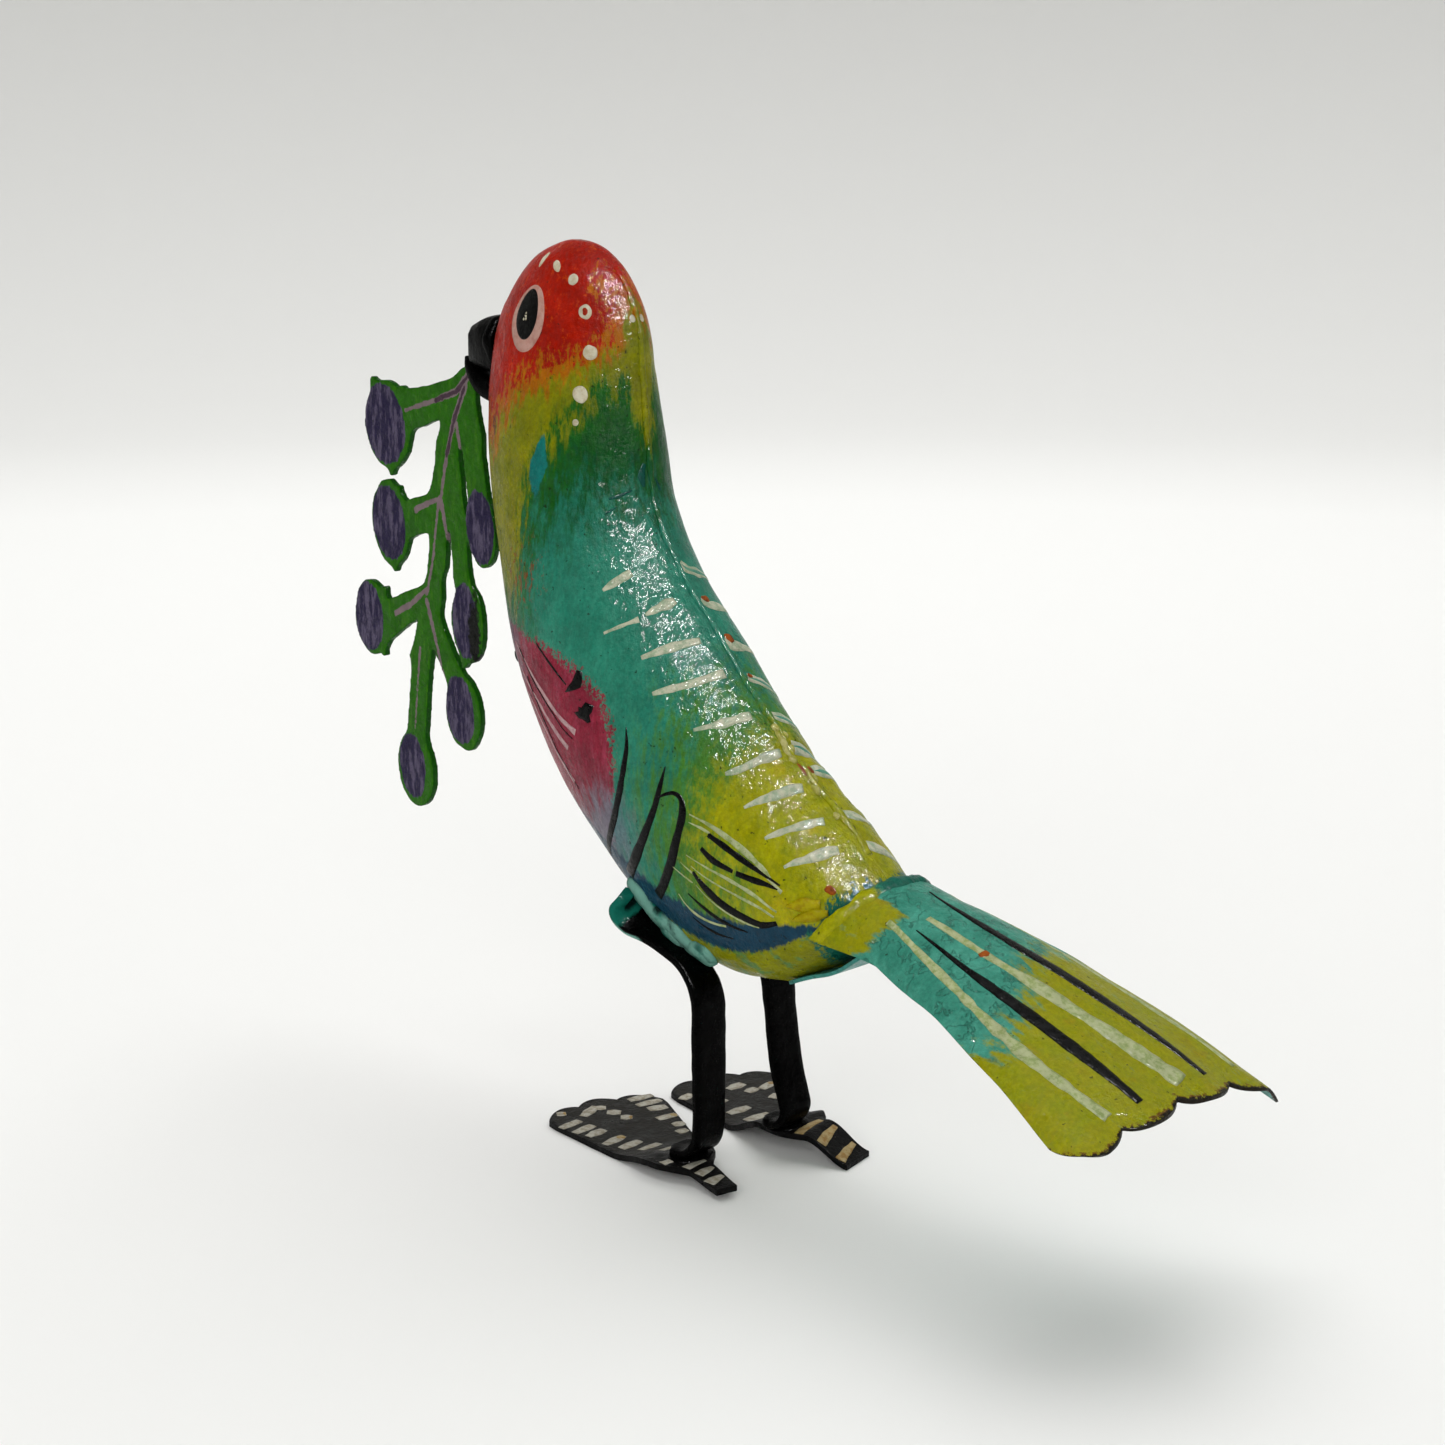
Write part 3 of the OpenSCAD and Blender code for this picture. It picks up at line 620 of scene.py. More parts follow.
PALE_PINK = stroke_paint("pale_strokes", (176, 146, 146), (160, 104, 116), 0.35, 0.7)
RUST = stroke_paint("rust_spots", (150, 74, 14), (92, 40, 8), 0.7, 0.9)
THICK = stroke_paint("thick_lime", (150, 146, 60), (196, 190, 130), 0.3, 0.7)
TAN = stroke_paint("tan_dashes", (164, 146, 104), (138, 104, 56), 0.5, 0.9)
CHALK = stroke_paint("white_dashes", (172, 168, 156), (134, 126, 108), 0.5, 0.9)


# ---------- Body shells and seams ----------

def body_marks(u, deg):
    """Where each field of paint lies on the body, as marks from 0 to 1 that cross 0.5 at its edge."""
    g = np.abs(deg)
    left = deg >= 0
    red_end = np.interp(g, [0, 12, 25, 40, 60, 80, 100, 120, 140, 180],
        [1.3, 1.55, 1.95, 2.3, 2.65, 2.8, 3.15, 3.65, 3.8, 3.9])
    olive_end = np.interp(g, [0, 8, 16, 25, 40, 60, 80, 95, 110, 180],
        [4.0, 3.8, 3.05, 3.0, 3.15, 3.7, 4.1, 5.0, 5.6, 5.7])
    neck_end = np.interp(g, [0, 30, 60, 90, 120, 180], [5.0, 4.9, 4.8, 5.2, 5.4, 5.4])
    lime_start = np.interp(g, [0, 15, 30, 45, 60, 75, 90, 105, 180],
        [8.5, 8.6, 8.7, 8.7, 8.75, 8.95, 9.2, 9.7, 11.6])
    green_start = np.interp(g, [0, 30, 50, 70, 90, 110, 180], [8.1, 8.0, 8.1, 8.45, 8.7, 9.2, 11.0])
    groove_start = np.interp(g, [0, 40, 80, 110], [11.75, 11.6, 11.4, 11.2])
    pink_edge = np.interp(u, [5.2, 5.9, 6.25, 6.6, 7.0, 7.4, 7.7, 8.0, 8.3, 8.8],
        [200, 112, 92, 80, 74, 77, 88, 106, 135, 200])
    blue_mid = np.interp(u, [7.6, 8.2, 8.7, 9.2, 9.8, 10.4, 10.9, 11.3],
        [140, 132, 127, 122, 119, 116, 110, 104])
    blue_half = np.interp(u, [7.6, 8.2, 9.0, 10.0, 10.8, 11.3], [2, 9, 10, 11, 9, 3])
    in_wing = smooth(58, 72, g) * smooth(118, 105, g) * smooth(10.8, 10.2, u)
    mist_low = field(g - 96, 30) * np.clip(1.2 - np.abs(u - 8.05) / 0.6, 0, 1) * 0.9
    mist_high = field(g - 112, 40) * np.clip(1.1 - np.abs(u - 5.9) / 0.8, 0, 1) * 0.7
    flame = np.clip(5.5 - 7 * np.abs(u - 4.3), 1.5, 6)
    chip = 1.6 - np.hypot((u - 4.25) / 0.34, (g - 76 - 10 * (u - 4.25)) / flame)
    return {
        "red": field(red_end - u, 1.05), "orange": field(red_end + 0.35 - u, 1.0),
        # Painted highlight: gold flecks where the crown's glints fall
        "gold_glint_flecks": 0.5 * np.exp(-((u - 1.5) / 0.7) ** 2 - ((g - 26) / 24) ** 2),
        "olive": field(olive_end - u, 1.5), "halo": field(olive_end + 0.6 - u, 2.0),
        "neck": field(neck_end - u, 2.3),
        "smear": 0.7 * np.exp(-((u - 3.75) / 0.2) ** 2 - ((g - 118) / 5) ** 2) * left,
        "chip": np.clip(chip, 0, 1) * left,
        "blush": 0.36 * np.exp(-((u - 5.45) / 0.7) ** 2 - ((g - 98) / 30) ** 2),
        "green": field(u - (green_start - 0.3), 1.9),
        "lime": np.minimum(field(u - (lime_start + 0.15), 2.0), 1 - 0.5 * in_wing),
        "pink": field(g - pink_edge, 16), "mist": np.maximum(mist_low, mist_high),
        "blue": field(blue_half - np.abs(g - blue_mid), 9) * (u > 7.4),
        "belly": field(g - blue_mid - blue_half, 9) * field(u - 8.7, 0.6),
        "groove": field(u - groove_start, 0.3),
    }


def half_shell(side):
    rows, cols = 250, 96
    u = np.linspace(0, RUMP, rows)
    deg = (np.concatenate([[0.0], np.linspace(1.5, 178.5, cols - 2), [180.0]]) + 1e-6) * side
    U, G = np.meshgrid(u, deg, indexing="ij")
    inner_u, inner_deg = np.meshgrid(0.7 + (RUMP - 1.2) * u / RUMP, deg, indexing="ij")
    points, faces = sheet(body(U, G), body(inner_u, inner_deg, -SHELL_T, dents=False))
    marks = {k: np.concatenate([v.ravel(), v.ravel()]) for k, v in body_marks(U, G).items()}
    word = "left" if side > 0 else "right"
    return add_mesh(f"shell_{word}", points, faces, BODY, marks, [f"body_shell_{word}"])


half_shell(1)
half_shell(-1)


def seam_bead(name, centre, first, last, node, width=0.6, height=0.42):
    """A thin uneven bead of solder under the paint, along the back (0) or the breast (180)."""
    n = 260
    u = np.linspace(first, last, n)
    ends = np.minimum(1, np.minimum(u - first, last - u) * 4 + 0.15)
    wander = 0.6 * np.sin(u * 5.1) + 0.5 * np.sin(u * 11.7)
    spine = body(u, np.full(n, centre + (1e-6 if centre == 0 else -1e-6)))
    lump = 1 + 0.3 * noise(spine, 2.2, 21) + 0.15 * noise(spine, 0.8, 22)
    rings = []
    size = np.maximum(3.0, catmull(STATIONS, u)[:, 3])
    for k, h in (
        (-1, -0.08), (-0.7, 0.5), (-0.3, 0.9), (0.1, 1.0), (0.5, 0.8), (0.85, 0.4), (1, -0.08), (0, -0.3),
    ):
        across = np.degrees(k * width * lump / size) + wander * 0.4
        if centre:
            deg = np.where(across >= 0, 1, -1) * np.minimum(180 - np.abs(across), 180 - 1e-6)
        else:
            deg = np.where(across == 0, 1e-6, across)
        base = body(u, deg)
        out = unit(base - np.stack([0 * u, *catmull(STATIONS, u)[:, :2].T], -1))
        rings.append(base + out * (h * height * lump * ends)[:, None])
    points, faces = tube(np.stack(rings, 1))
    marks = body_marks(u, np.full(n, float(centre)))
    marks = {k: np.append(np.repeat(v, len(rings)), [v[0], v[-1]]) for k, v in marks.items()}
    # Painted shadow: a dark line runs in the corner on the bird's right of the bead
    marks["shadow"] = np.append(np.tile([0.95, 0.55, 0, 0, 0, 0, 0, 0], n), [0, 0])
    return add_mesh(name, points, faces, BODY, marks, [node])


seam_bead("back_bead", 0, 1.0, 11.4, "back_seam_solder")
seam_bead("breast_bead", 180, 1.0, 11.2, "breast_seam_solder", 0.5, 0.3)

# ---------- Tail ----------


def tail_piece():
    rows, cols = 150, 150
    s = np.linspace(0, 1, rows)
    q = np.linspace(-1, 1, cols)
    S, Q = np.meshgrid(s, q, indexing="ij")
    points, faces = sheet(tail(S, Q, TAIL_T), tail(S, Q, 0))
    lime_start = np.interp(Q, [-1, -0.6, -0.3, 0, 0.3, 0.5, 0.75, 1],
        [0.45, 0.45, 0.42, 0.48, 0.56, 0.6, 0.64, 0.62])
    lime = np.maximum(field(S - lime_start, 0.22), field(0.13 - S, 0.08) * field(Q - 0.35, 0.2))
    ends = np.maximum(field(S - 0.992, 0.015), np.clip((np.abs(Q) - 0.985) / 0.02 + 0.2, 0, 0.5))
    rust = np.clip((S - 0.985) / 0.03 + 0.3, 0, 0.6)
    marks = {"lime": [lime, 0 * S], "under": [0 * S, 0 * S + 0.9], "rust": [rust, rust * 0.8],
        "edge": [ends * 0.8, ends * 0.8]}
    return add_mesh("tail_sheet", points, faces, TAIL, marks, ["tail_fan"], bevel=0.14)


tail_piece()


def tail_skin(s, q, off=0.0):
    return tail(s, q, TAIL_T + off)


# ---------- Paint strokes on the body and tail ----------

def strokes(name, solids, material):
    points, faces = join(solids)
    return add_mesh(name, points, faces, material)


black, white, faint, pale, wash = [], [], [], [], []
for side in (1, -1):
    for line, width, taper in (
        ([(7.48, 70), (7.66, 76), (7.84, 87), (7.96, 98), (8.04, 112), (8.08, 138)], 0.95,
            (0.1, 0.7, 1.0, 1.1, 1.1, 1.0)),
        ([(8.12, 65), (8.24, 73), (8.36, 83), (8.44, 98), (8.46, 115), (8.44, 128)], 1.35,
            (0.1, 0.5, 0.7, 0.9, 1.2, 1.2)),
        ([(8.31, 77), (8.36, 73), (8.42, 70), (8.52, 69), (8.63, 71), (8.74, 76), (8.84, 86), (8.9, 96),
            (8.9, 110), (8.86, 120)], 1.1, (0.3, 0.4, 0.6, 0.9, 1.1, 1.3, 1.3)),
        ([(9.28, 72), (9.66, 72), (10.06, 73), (10.44, 74), (10.76, 76)], 0.75, (0.8, 1.1, 1.0, 0.6, 0.3)),
        ([(9.26, 79.5), (9.56, 81), (9.96, 81)], 0.75, (0.8, 1.2, 0.7)),
        ([(10.02, 81), (10.3, 80), (10.54, 79), (10.74, 79)], 0.75, (1.0, 1.0, 0.3)),
        ([(9.26, 92), (9.54, 96), (9.88, 100), (10.22, 103), (10.52, 105), (10.76, 102)], 1.0,
            (0.5, 1.1, 1.1, 1.0, 0.6)),
        ([(9.26, 104), (9.48, 106), (9.8, 109), (10.08, 111), (10.28, 112)], 0.55, (0.3, 1.0, 0.9, 0.3)),
        ([(9.36, 116), (9.56, 118), (9.8, 119), (10.04, 119)], 0.5, (0.3, 1.0, 0.3)),
        ([(6.16, 98), (6.42, 93), (6.7, 88)], 0.35, (0.6, 1.0, 0.6)),
        ([(6.08, 117), (6.46, 112), (6.8, 106), (7.02, 103), (7.16, 100)], 0.3, (1.0, 0.7, 0.4)),
        ([(6.34, 119), (6.86, 118), (7.22, 118), (7.5, 119)], 0.3, (1.0, 0.7, 0.4)),
    ):
        black.append(stroke(body, [(u, side * deg) for u, deg in line], width, taper=taper, steps=40))
    for line, width in (
        ([(8.78, 71), (9.1, 68.5), (9.5, 67.5), (9.92, 68), (10.38, 71), (10.8, 80)], 0.75),
        ([(8.84, 74), (9.06, 72), (9.3, 71)], 0.3),
        ([(9.06, 87), (9.46, 86), (9.96, 86), (10.4, 88), (10.76, 94)], 0.42),
        ([(9.2, 90), (9.6, 91), (10.08, 92), (10.48, 94), (10.72, 98)], 0.34),
        ([(9.36, 97), (9.6, 100), (9.94, 103.5), (10.24, 106), (10.48, 107)], 0.26),
        ([(9.12, 108), (9.24, 111), (9.44, 113), (9.7, 113), (9.94, 112)], 0.4),
        ([(8.94, 97), (9.16, 97), (9.3, 97)], 0.22), ([(9.02, 92), (9.2, 92.5), (9.4, 93)], 0.25),
    ):
        faint.append(stroke(body, [(u, side * deg) for u, deg in line], width, height=0.05,
            taper=(0.2, 0.6, 1.0, 1.1, 0.7), wobble=0.4, seed=len(faint)))
    for line, width in (
        ([(6.0, 121), (6.26, 114), (6.62, 107), (6.88, 102), (7.14, 96)], 0.75),
        ([(6.2, 126), (6.58, 117), (6.92, 111), (7.18, 107)], 0.75),
        ([(6.26, 132), (6.68, 124), (7.1, 120), (7.42, 119)], 0.65),
    ):
        pale.append(stroke(body, [(u, side * deg) for u, deg in line], width, height=0.05,
            taper=(0.2, 0.5, 0.8, 1.0, 1.0), wobble=0.3, seed=len(pale)))

chip = [
    (-1.9, -1.2), (-1.2, -1.9), (-0.5, -1.5), (0.2, -1.1), (1.2, -0.9), (2.2, -0.6), (1.3, -0.2),
    (0.3, 0.1), (-0.6, 0.3), (-1.2, -0.2),
]
chip_low = [
    (-1.7, 0.2), (-0.8, -0.9), (0.2, -0.7), (0.6, -1.1), (0.9, -0.6), (1.7, -0.9), (1.4, 0.1), (0.9, 0.6),
    (0.5, 1.4), (-0.1, 1.6), (-0.4, 0.8), (-1.0, 0.7),
]
black += [patch(body, (6.8, 83), chip, rings=3), patch(body, (7.05, 85), chip_low, rings=3)]
strokes("black_feather_strokes", black, INK)
strokes("faint_wing_strokes", faint, FAINT)
strokes("pale_breast_strokes", pale, PALE_PINK)

left_stripes = [
    [(5.84, 32), (5.9, 41), (5.96, 50)], [(6.44, 16), (6.46, 25), (6.48, 35)],
    [(6.5, 39), (6.48, 48), (6.46, 58)], [(7.04, 15), (6.98, 31), (6.92, 47)],
    [(7.56, 12), (7.5, 32), (7.36, 51)], [(8.22, 13), (8.14, 29), (8.0, 44)],
    [(9.45, 9), (9.12, 29), (8.78, 45)], [(10.3, 13), (10.06, 33), (9.74, 50)],
    [(10.84, 18), (10.64, 38), (10.32, 56)], [(11.2, 27), (11.0, 48), (10.74, 64)],
]
right_stripes = [
    [(5.86, -3), (6.0, -8), (6.08, -22), (6.12, -40)], [(6.52, -3), (6.6, -10), (6.62, -22), (6.62, -38)],
    [(7.1, -3), (7.2, -8), (7.24, -22), (7.24, -38)], [(7.68, -4), (7.78, -17), (7.9, -36)],
    [(8.3, -4), (8.4, -16), (8.48, -36)], [(9.3, -4), (9.5, -20), (9.78, -34)],
    [(10.05, -7), (10.08, -22), (10.12, -40)], [(10.86, -6), (10.9, -22), (10.88, -44)],
    [(11.3, -5), (11.36, -28), (11.38, -54)],
]
for i, line in enumerate(left_stripes):
    taper = (0.7, 0.5, 0.25) if i == 2 else (0.9, 1.1, 1.0, 0.8, 0.35)
    white.append(stroke(body, line, 1.15, taper=taper, height=0.05, wobble=0.35, seed=i))
for i, line in enumerate(right_stripes):
    white.append(stroke(body, line, 1.5, taper=(0.9, 1.1, 1.0, 0.7, 0.5), height=0.05, wobble=0.3,
        seed=20 + i))
    if i in (0, 3, 4, 5, 6):
        wash.append(stroke(body, line, 0.75, taper=(0.0, 0.9, 1.1, 1.0, 0.6), height=0.065, wobble=0.3,
            seed=20 + i))
strokes("white_back_stripes", white, WHITE)
strokes("washed_stripe_middles", wash, WASH)

dots = []
for side in (1, -1):
    for i, (u, deg, w, h, turn) in enumerate((
        (1.02, 112, 0.8, 2.4, 10), (1.12, 86, 1.1, 1.9, 40), (1.34, 64, 1.4, 1.4, 0),
        (1.86, 52, 1.7, 2.0, 25), (2.48, 46, 1.75, 1.9, 30), (3.28, 50, 1.95, 2.2, 20),
        (3.72, 52, 0.8, 0.85, 0), (1.9, 8, 0.8, 1.0, 0),
    )):
        dots.append(patch(body, (u, side * deg), oval(w, h, rough=0.12, seed=i), turn=side * turn, rings=4))
strokes("white_head_dots", dots, DOT)
blush = [patch(body, (1.86, side * 52), oval(1.0, 1.25, rough=0.3, seed=9), rings=3, height=0.09)
    for side in (1, -1)]
eyes, rings_round, glints = [], [], []
for side in (1, -1):
    rings_round.append(patch(body, (2.14, side * 99), oval(6.2, 8.2, 48, 0.03), turn=side * 13, rings=8,
        height=0.06))
    eyes.append(patch(body, (2.09, side * 100), oval(4.3, 6.5, 48, 0.02), turn=side * 14, rings=8,
        height=0.13))
    for i, (a, b, w, h) in enumerate((
        (0, 0, 0.7, 0.45), (-0.35, 0.5, 0.4, 0.6), (0.3, 0.75, 0.5, 0.4), (0.15, -0.65, 0.35, 0.45),
    )):
        glints.append(patch(body, (2.13, side * 100), oval(w, h, 12, 0.3, i) + [a, b], rings=2, height=0.16))
strokes("eye_rings", rings_round, RING)
strokes("eyes", eyes, PUPIL)
strokes("eye_glints", glints, DOT)
RED_DAB = stroke_paint("red_dabs", (150, 40, 14), (124, 18, 6), 0.4, 0.7)
strokes("red_dot_middles", blush, RED_DAB)

tail_black, tail_white = [], []
for line, width, taper in (
    ([(0.19, 0.42), (0.37, 0.43), (0.54, 0.39), (0.74, 0.33), (0.94, 0.27)], 1.6,
        (0.1, 0.4, 0.8, 1.1, 1.1, 0.7)),
    ([(0.07, -0.16), (0.18, -0.11), (0.33, -0.13), (0.51, -0.2), (0.72, -0.28), (0.94, -0.35)], 1.8,
        (0.15, 0.4, 0.8, 1.0, 1.0, 0.9, 0.6)),
):
    tail_black.append(stroke(tail_skin, line, width, taper=taper, steps=60))
for line, width, taper, steps in (
    ([(0.11, 0.52), (0.31, 0.61), (0.52, 0.66), (0.7, 0.65), (0.85, 0.58), (0.95, 0.52)], 1.7,
        (0.5, 0.5, 0.7, 1.0, 1.1, 1.0), 60),
    ([(0.17, 0.23), (0.39, 0.18), (0.61, 0.07), (0.81, -0.05), (0.94, -0.13)], 2.3,
        (0.4, 0.5, 0.8, 1.0, 1.1, 1.0), 60),
    ([(0.08, -0.62), (0.35, -0.6), (0.65, -0.66), (0.92, -0.72)], 1.0, (0.2, 0.7, 1.0, 0.8), 50),
):
    tail_white.append(stroke(tail_skin, line, width, height=0.05, taper=taper, steps=steps, wobble=0.35))
strokes("black_tail_strokes", tail_black, INK)
strokes("white_tail_strokes", tail_white, FAINT)
rust, thick = [patch(tail_skin, (0.37, 0.19), oval(1.5, 1.1, rough=0.3), rings=4, height=0.09)], []
for u, deg, w, h, rough, seed, lift in (
    (6.5, -8, 1.3, 1.2, 0.35, 3, 0.09), (7.1, -8, 1.5, 1.5, 0.35, 5, 0.09),
    (11.35, 62, 1.0, 1.4, 0.4, 6, 0.07), (7.66, -7, 0.9, 0.8, 0.35, 8, 0.09),
    (10.05, -5, 0.8, 1.0, 0.4, 9, 0.08), (9.55, 2.5, 0.8, 1.9, 0.4, 10, 0.09),
    (10.0, 2.0, 0.7, 2.6, 0.4, 11, 0.09),
):
    rust.append(patch(body, (u, deg), oval(w, h, rough=rough, seed=seed), rings=4, height=lift))
for i, (u, deg, w, h, lift) in enumerate((
    (8.55, 2.0, 1.0, 1.3, 0.35), (8.75, -2.0, 0.8, 1.1, 0.3), (9.15, 3.0, 0.9, 1.6, 0.3),
    (9.4, -3.0, 0.8, 1.2, 0.3), (9.75, 3.5, 0.8, 1.5, 0.35), (10.2, -3.0, 0.8, 1.4, 0.3),
    (10.4, 3.5, 0.9, 1.5, 0.35), (10.7, -2.0, 0.7, 1.2, 0.3), (10.85, 4.5, 0.9, 1.1, 0.3),
    (8.95, 4.0, 0.6, 0.8, 0.3),
)):
    thick.append(patch(body, (u, deg), oval(w, h, 16, 0.4, i), rings=4, height=lift))
strokes("thick_paint_on_seam", thick, THICK)
seam_end = [patch(body, (11.05, -1.5), oval(0.8, 1.5, rough=0.35, seed=12), rings=4),
    stroke(body, [(10.5, 0.8), (10.75, -0.6), (11.05, -1.2)], 0.35)]
strokes("seam_end_marks", seam_end, INK)
strokes("rust_spots", rust, RUST)

FOLD = stroke_paint("gold_folds", (160, 150, 8), (134, 108, 6), 0.3, 0.6)
folds, creases = [], []
for line, width in (([(10.9, 88), (11.1, 84), (11.3, 79)], 1.4), ([(11.0, 97), (11.2, 92), (11.4, 86)], 1.2)):
    folds.append(stroke(body, line, width, height=0.4, taper=(0.3, 0.9, 1.1, 0.8), wobble=0.5,
        seed=40 + len(folds)))
strokes("gold_rump_folds", folds, FOLD)
# Painted shade: dark teal lines along the small folds behind the neck
CREASE_SHADE = stroke_paint("crease_shade_teal", (8, 66, 58), (14, 88, 74), 0.3, 0.6)
for line, width in (
    ([(4.4, 6), (4.56, 9), (4.72, 8)], 1.1), ([(4.75, 18), (4.8, 27), (4.82, 34)], 0.4),
    ([(4.95, 30), (5.02, 38)], 0.3), ([(4.62, -5), (4.8, -9)], 0.7),
):
    creases.append(stroke(body, line, width, height=0.06, taper=(0.4, 1.0, 0.5), wobble=0.5,
        seed=50 + len(creases)))
strokes("nape_crease_shade", creases, CREASE_SHADE)


# ---------- Tail brace and root solder ----------

def ribbon(path, half_widths, thick):
    """A bent strip, as its two faces. The path's points are in the bird's own frame."""
    rows, cols = 60, 11
    t = np.linspace(0, len(path) - 1, rows)
    c = catmull(path, t)
    along = unit(np.gradient(c, axis=0))
    over = np.tile([1.0, 0, 0], (rows, 1))
    over = unit(over - along * (over * along).sum(-1, keepdims=True))
    lift = np.cross(along, over)[:, None] * thick / 2
    half = np.interp(t / t[-1], np.linspace(0, 1, len(half_widths)), half_widths)
    base = c[:, None] + over[:, None] * (half[:, None] * np.linspace(-1, 1, cols)[None])[..., None]
    return base + lift, base - lift


brace_path = [
    (0, 11.5, 27.4), (0, 16.0, 29.4), (0, 20.5, 31.2), (0, 25.0, 34.0), (0, 29.5, 37.4), (0, 33.5, 38.9),
]
points, faces = sheet(*ribbon(brace_path, [3.0, 4.2, 5.0, 6.4, 6.6, 5.5], 0.5))
brace_marks = {"lime": 0, "under": 0.9, "rust": 0, "edge": 0}
brace_marks = {key: np.full(len(points), value) for key, value in brace_marks.items()}
add_mesh("rump_brace", points, faces, TAIL, brace_marks, ["tail_brace"], bevel=0.12)

n = 90  # steps along the bead
q = np.linspace(-0.98, 0.98, n)
spine = tail(np.zeros(n), q, TAIL_T / 2)
after = tail(np.full(n, 0.03), q, TAIL_T / 2)
above = tail(np.zeros(n), q, TAIL_T / 2 + 1.0)
forward = unit(after - spine)
upward = unit(above - spine)
bead = []
for k, a in enumerate(circle(12)):
    r = 0.85 + 0.3 * noise(spine, 1.6, 31) + 0.15 * noise(spine + k, 0.7, 33)
    bead.append(spine - forward * 0.5 + (forward * np.cos(a) * 1.25 + upward * np.sin(a) * 0.75) * r[:, None])
points, faces = tube(np.stack(bead, 1))
gold = np.append(np.repeat(smooth(0.1, 0.4, q), 12), [0, 1])
add_mesh("tail_root_bead", points, faces, BODY, {"lime": gold, "groove": 1 - gold},
    ["tail_root_solder"])


# ---------- Beak ----------

def mandible(stations, power):
    sides, rows = 20, 30
    u = np.linspace(0, len(stations) - 1, rows)
    s = catmull(stations, u)
    run = np.gradient(s[:, :2], axis=0)
    up = unit(np.stack([run[:, 1], -run[:, 0]], -1))
    rings = [np.stack([s[:, 3] * x, *(s[:, :2] + up * (s[:, 2:3] * h)).T], -1)
        for h, x in soft_square(sides, power)]
    return tube(np.stack(rings, 1))


upper = [
    [-42.4, 101.6, 3.9, 3.2], [-44.8, 101.5, 3.7, 2.9], [-46.8, 101.2, 3.3, 2.4], [-48.4, 100.9, 2.7, 1.9],
    [-49.2, 100.9, 2.1, 1.4], [-49.6, 100.9, 1.0, 0.8],
]
lower = [
    [-42.6, 95.8, 1.7, 2.2], [-45.0, 95.6, 1.7, 2.2], [-47.0, 96.2, 1.5, 2.1], [-48.6, 97.3, 1.1, 1.8],
    [-50.0, 98.5, 0.8, 1.2], [-51.1, 99.6, 0.25, 0.4],
]
points, faces = mandible(upper, 3.4)
points = points + 0.12 * jitter(points, 1.8, 41)
add_mesh("upper_mandible", points, faces, BLACK, replaces=["beak_upper"])
points, faces = mandible(lower, 2.6)
points = points + 0.08 * jitter(points, 1.5, 44)
add_mesh("lower_mandible", points, faces, BLACK, replaces=["beak_lower"])
N, M = 72, 12  # points round the collar, and round its bead
around, across = np.meshgrid(circle(N), circle(M), indexing="ij")
reach = 3.35 + 0.12 * np.sin(3 * around) + 0.1 * np.sin(7 * around + 1) + 0.55 * np.cos(across)
points = np.stack([reach * np.cos(around), -42.6 + 0.9 * np.sin(across), 101.8 + reach * np.sin(around)],
    -1).reshape(-1, 3)
faces = grid_faces(N, M, wrap=True) + [((N - 1) * M + j, (N - 1) * M + (j + 1) % M, (j + 1) % M, j)
    for j in range(M)]
add_mesh("beak_collar", points, outward(points, faces), BLACK, replaces=["beak_solder"])


# ---------- Sprig ----------

# Stem and branches as lines of (y, z), with the widths at the two ends of each part
BRANCHES = [
    ([(-48.8, 98.2), (-50.8, 96.2), (-53.2, 92.6), (-55.4, 86.8), (-57.2, 79.8), (-58.2, 71.3),
        (-60.1, 64.2), (-62.4, 57.0), (-63.8, 45.0)], [(1.6, 3.6), (3.6, 5.0), (4.8, 4.4), (4.4, 4.4),
        (4.4, 3.6), (3.6, 4.2), (4.4, 4.2), (4.2, 4.2)]),
    ([(-51.8, 95.2), (-57.0, 93.4), (-64.4, 91.4)], [(4.4, 4.4), (4.4, 6.0)]),
    ([(-57.2, 78.6), (-64.4, 76.4)], [(4.4, 5.4)]),
    ([(-59.4, 66.4), (-65.0, 64.0), (-70.0, 61.4)], [(3.6, 4.4), (4.4, 5.2)]),
    ([(-60.4, 63.8), (-55.2, 55.6)], [(4.0, 3.8)]),
    ([(-55.0, 86.4), (-53.6, 77.0), (-52.8, 69.0)], [(4.0, 3.6), (3.6, 3.6)]),
    ([(-51.6, 94.2), (-50.2, 88.6), (-49.2, 82.0)], [(5.0, 4.4), (4.4, 4.0)]),
]
# Fruits: centre y and z, width, height, lean in degrees, then the tips that make them less than round
FRUITS = [
    (-68.5, 89.4, 10.2, 12.4, 8, [(-71.6, 95.4), (-67.8, 82.8), (-65.2, 94.4)]),
    (-68.4, 75.6, 8.2, 12.2, 8, [(-67.6, 69.2), (-66.4, 80.6)]),
    (-73.2, 61.5, 8.2, 11.0, 4, [(-70.2, 66.0), (-70.8, 56.6)]), (-64.2, 40.8, 8.0, 11.2, 4, []),
    (-53.2, 50.6, 7.6, 10.8, 6, []), (-51.9, 63.4, 6.8, 11.4, 3, [(-52.4, 69.4), (-52.8, 57.4)]),
    (-48.5, 76.6, 6.0, 11.0, 5, []),
]
# Purple on each fruit: centre y and z, width, height, lean
GRAPES = [
    (-69.0, 89.4, 8.9, 11.4, 16), (-68.6, 75.6, 7.4, 10.6, 12), (-73.9, 61.6, 6.6, 10.0, 5),
    (-64.8, 41.2, 5.8, 9.4, 6), (-53.8, 51.0, 6.0, 9.6, 8), (-52.3, 63.6, 5.4, 10.6, 4),
    (-48.6, 76.8, 5.8, 10.2, 5),
]
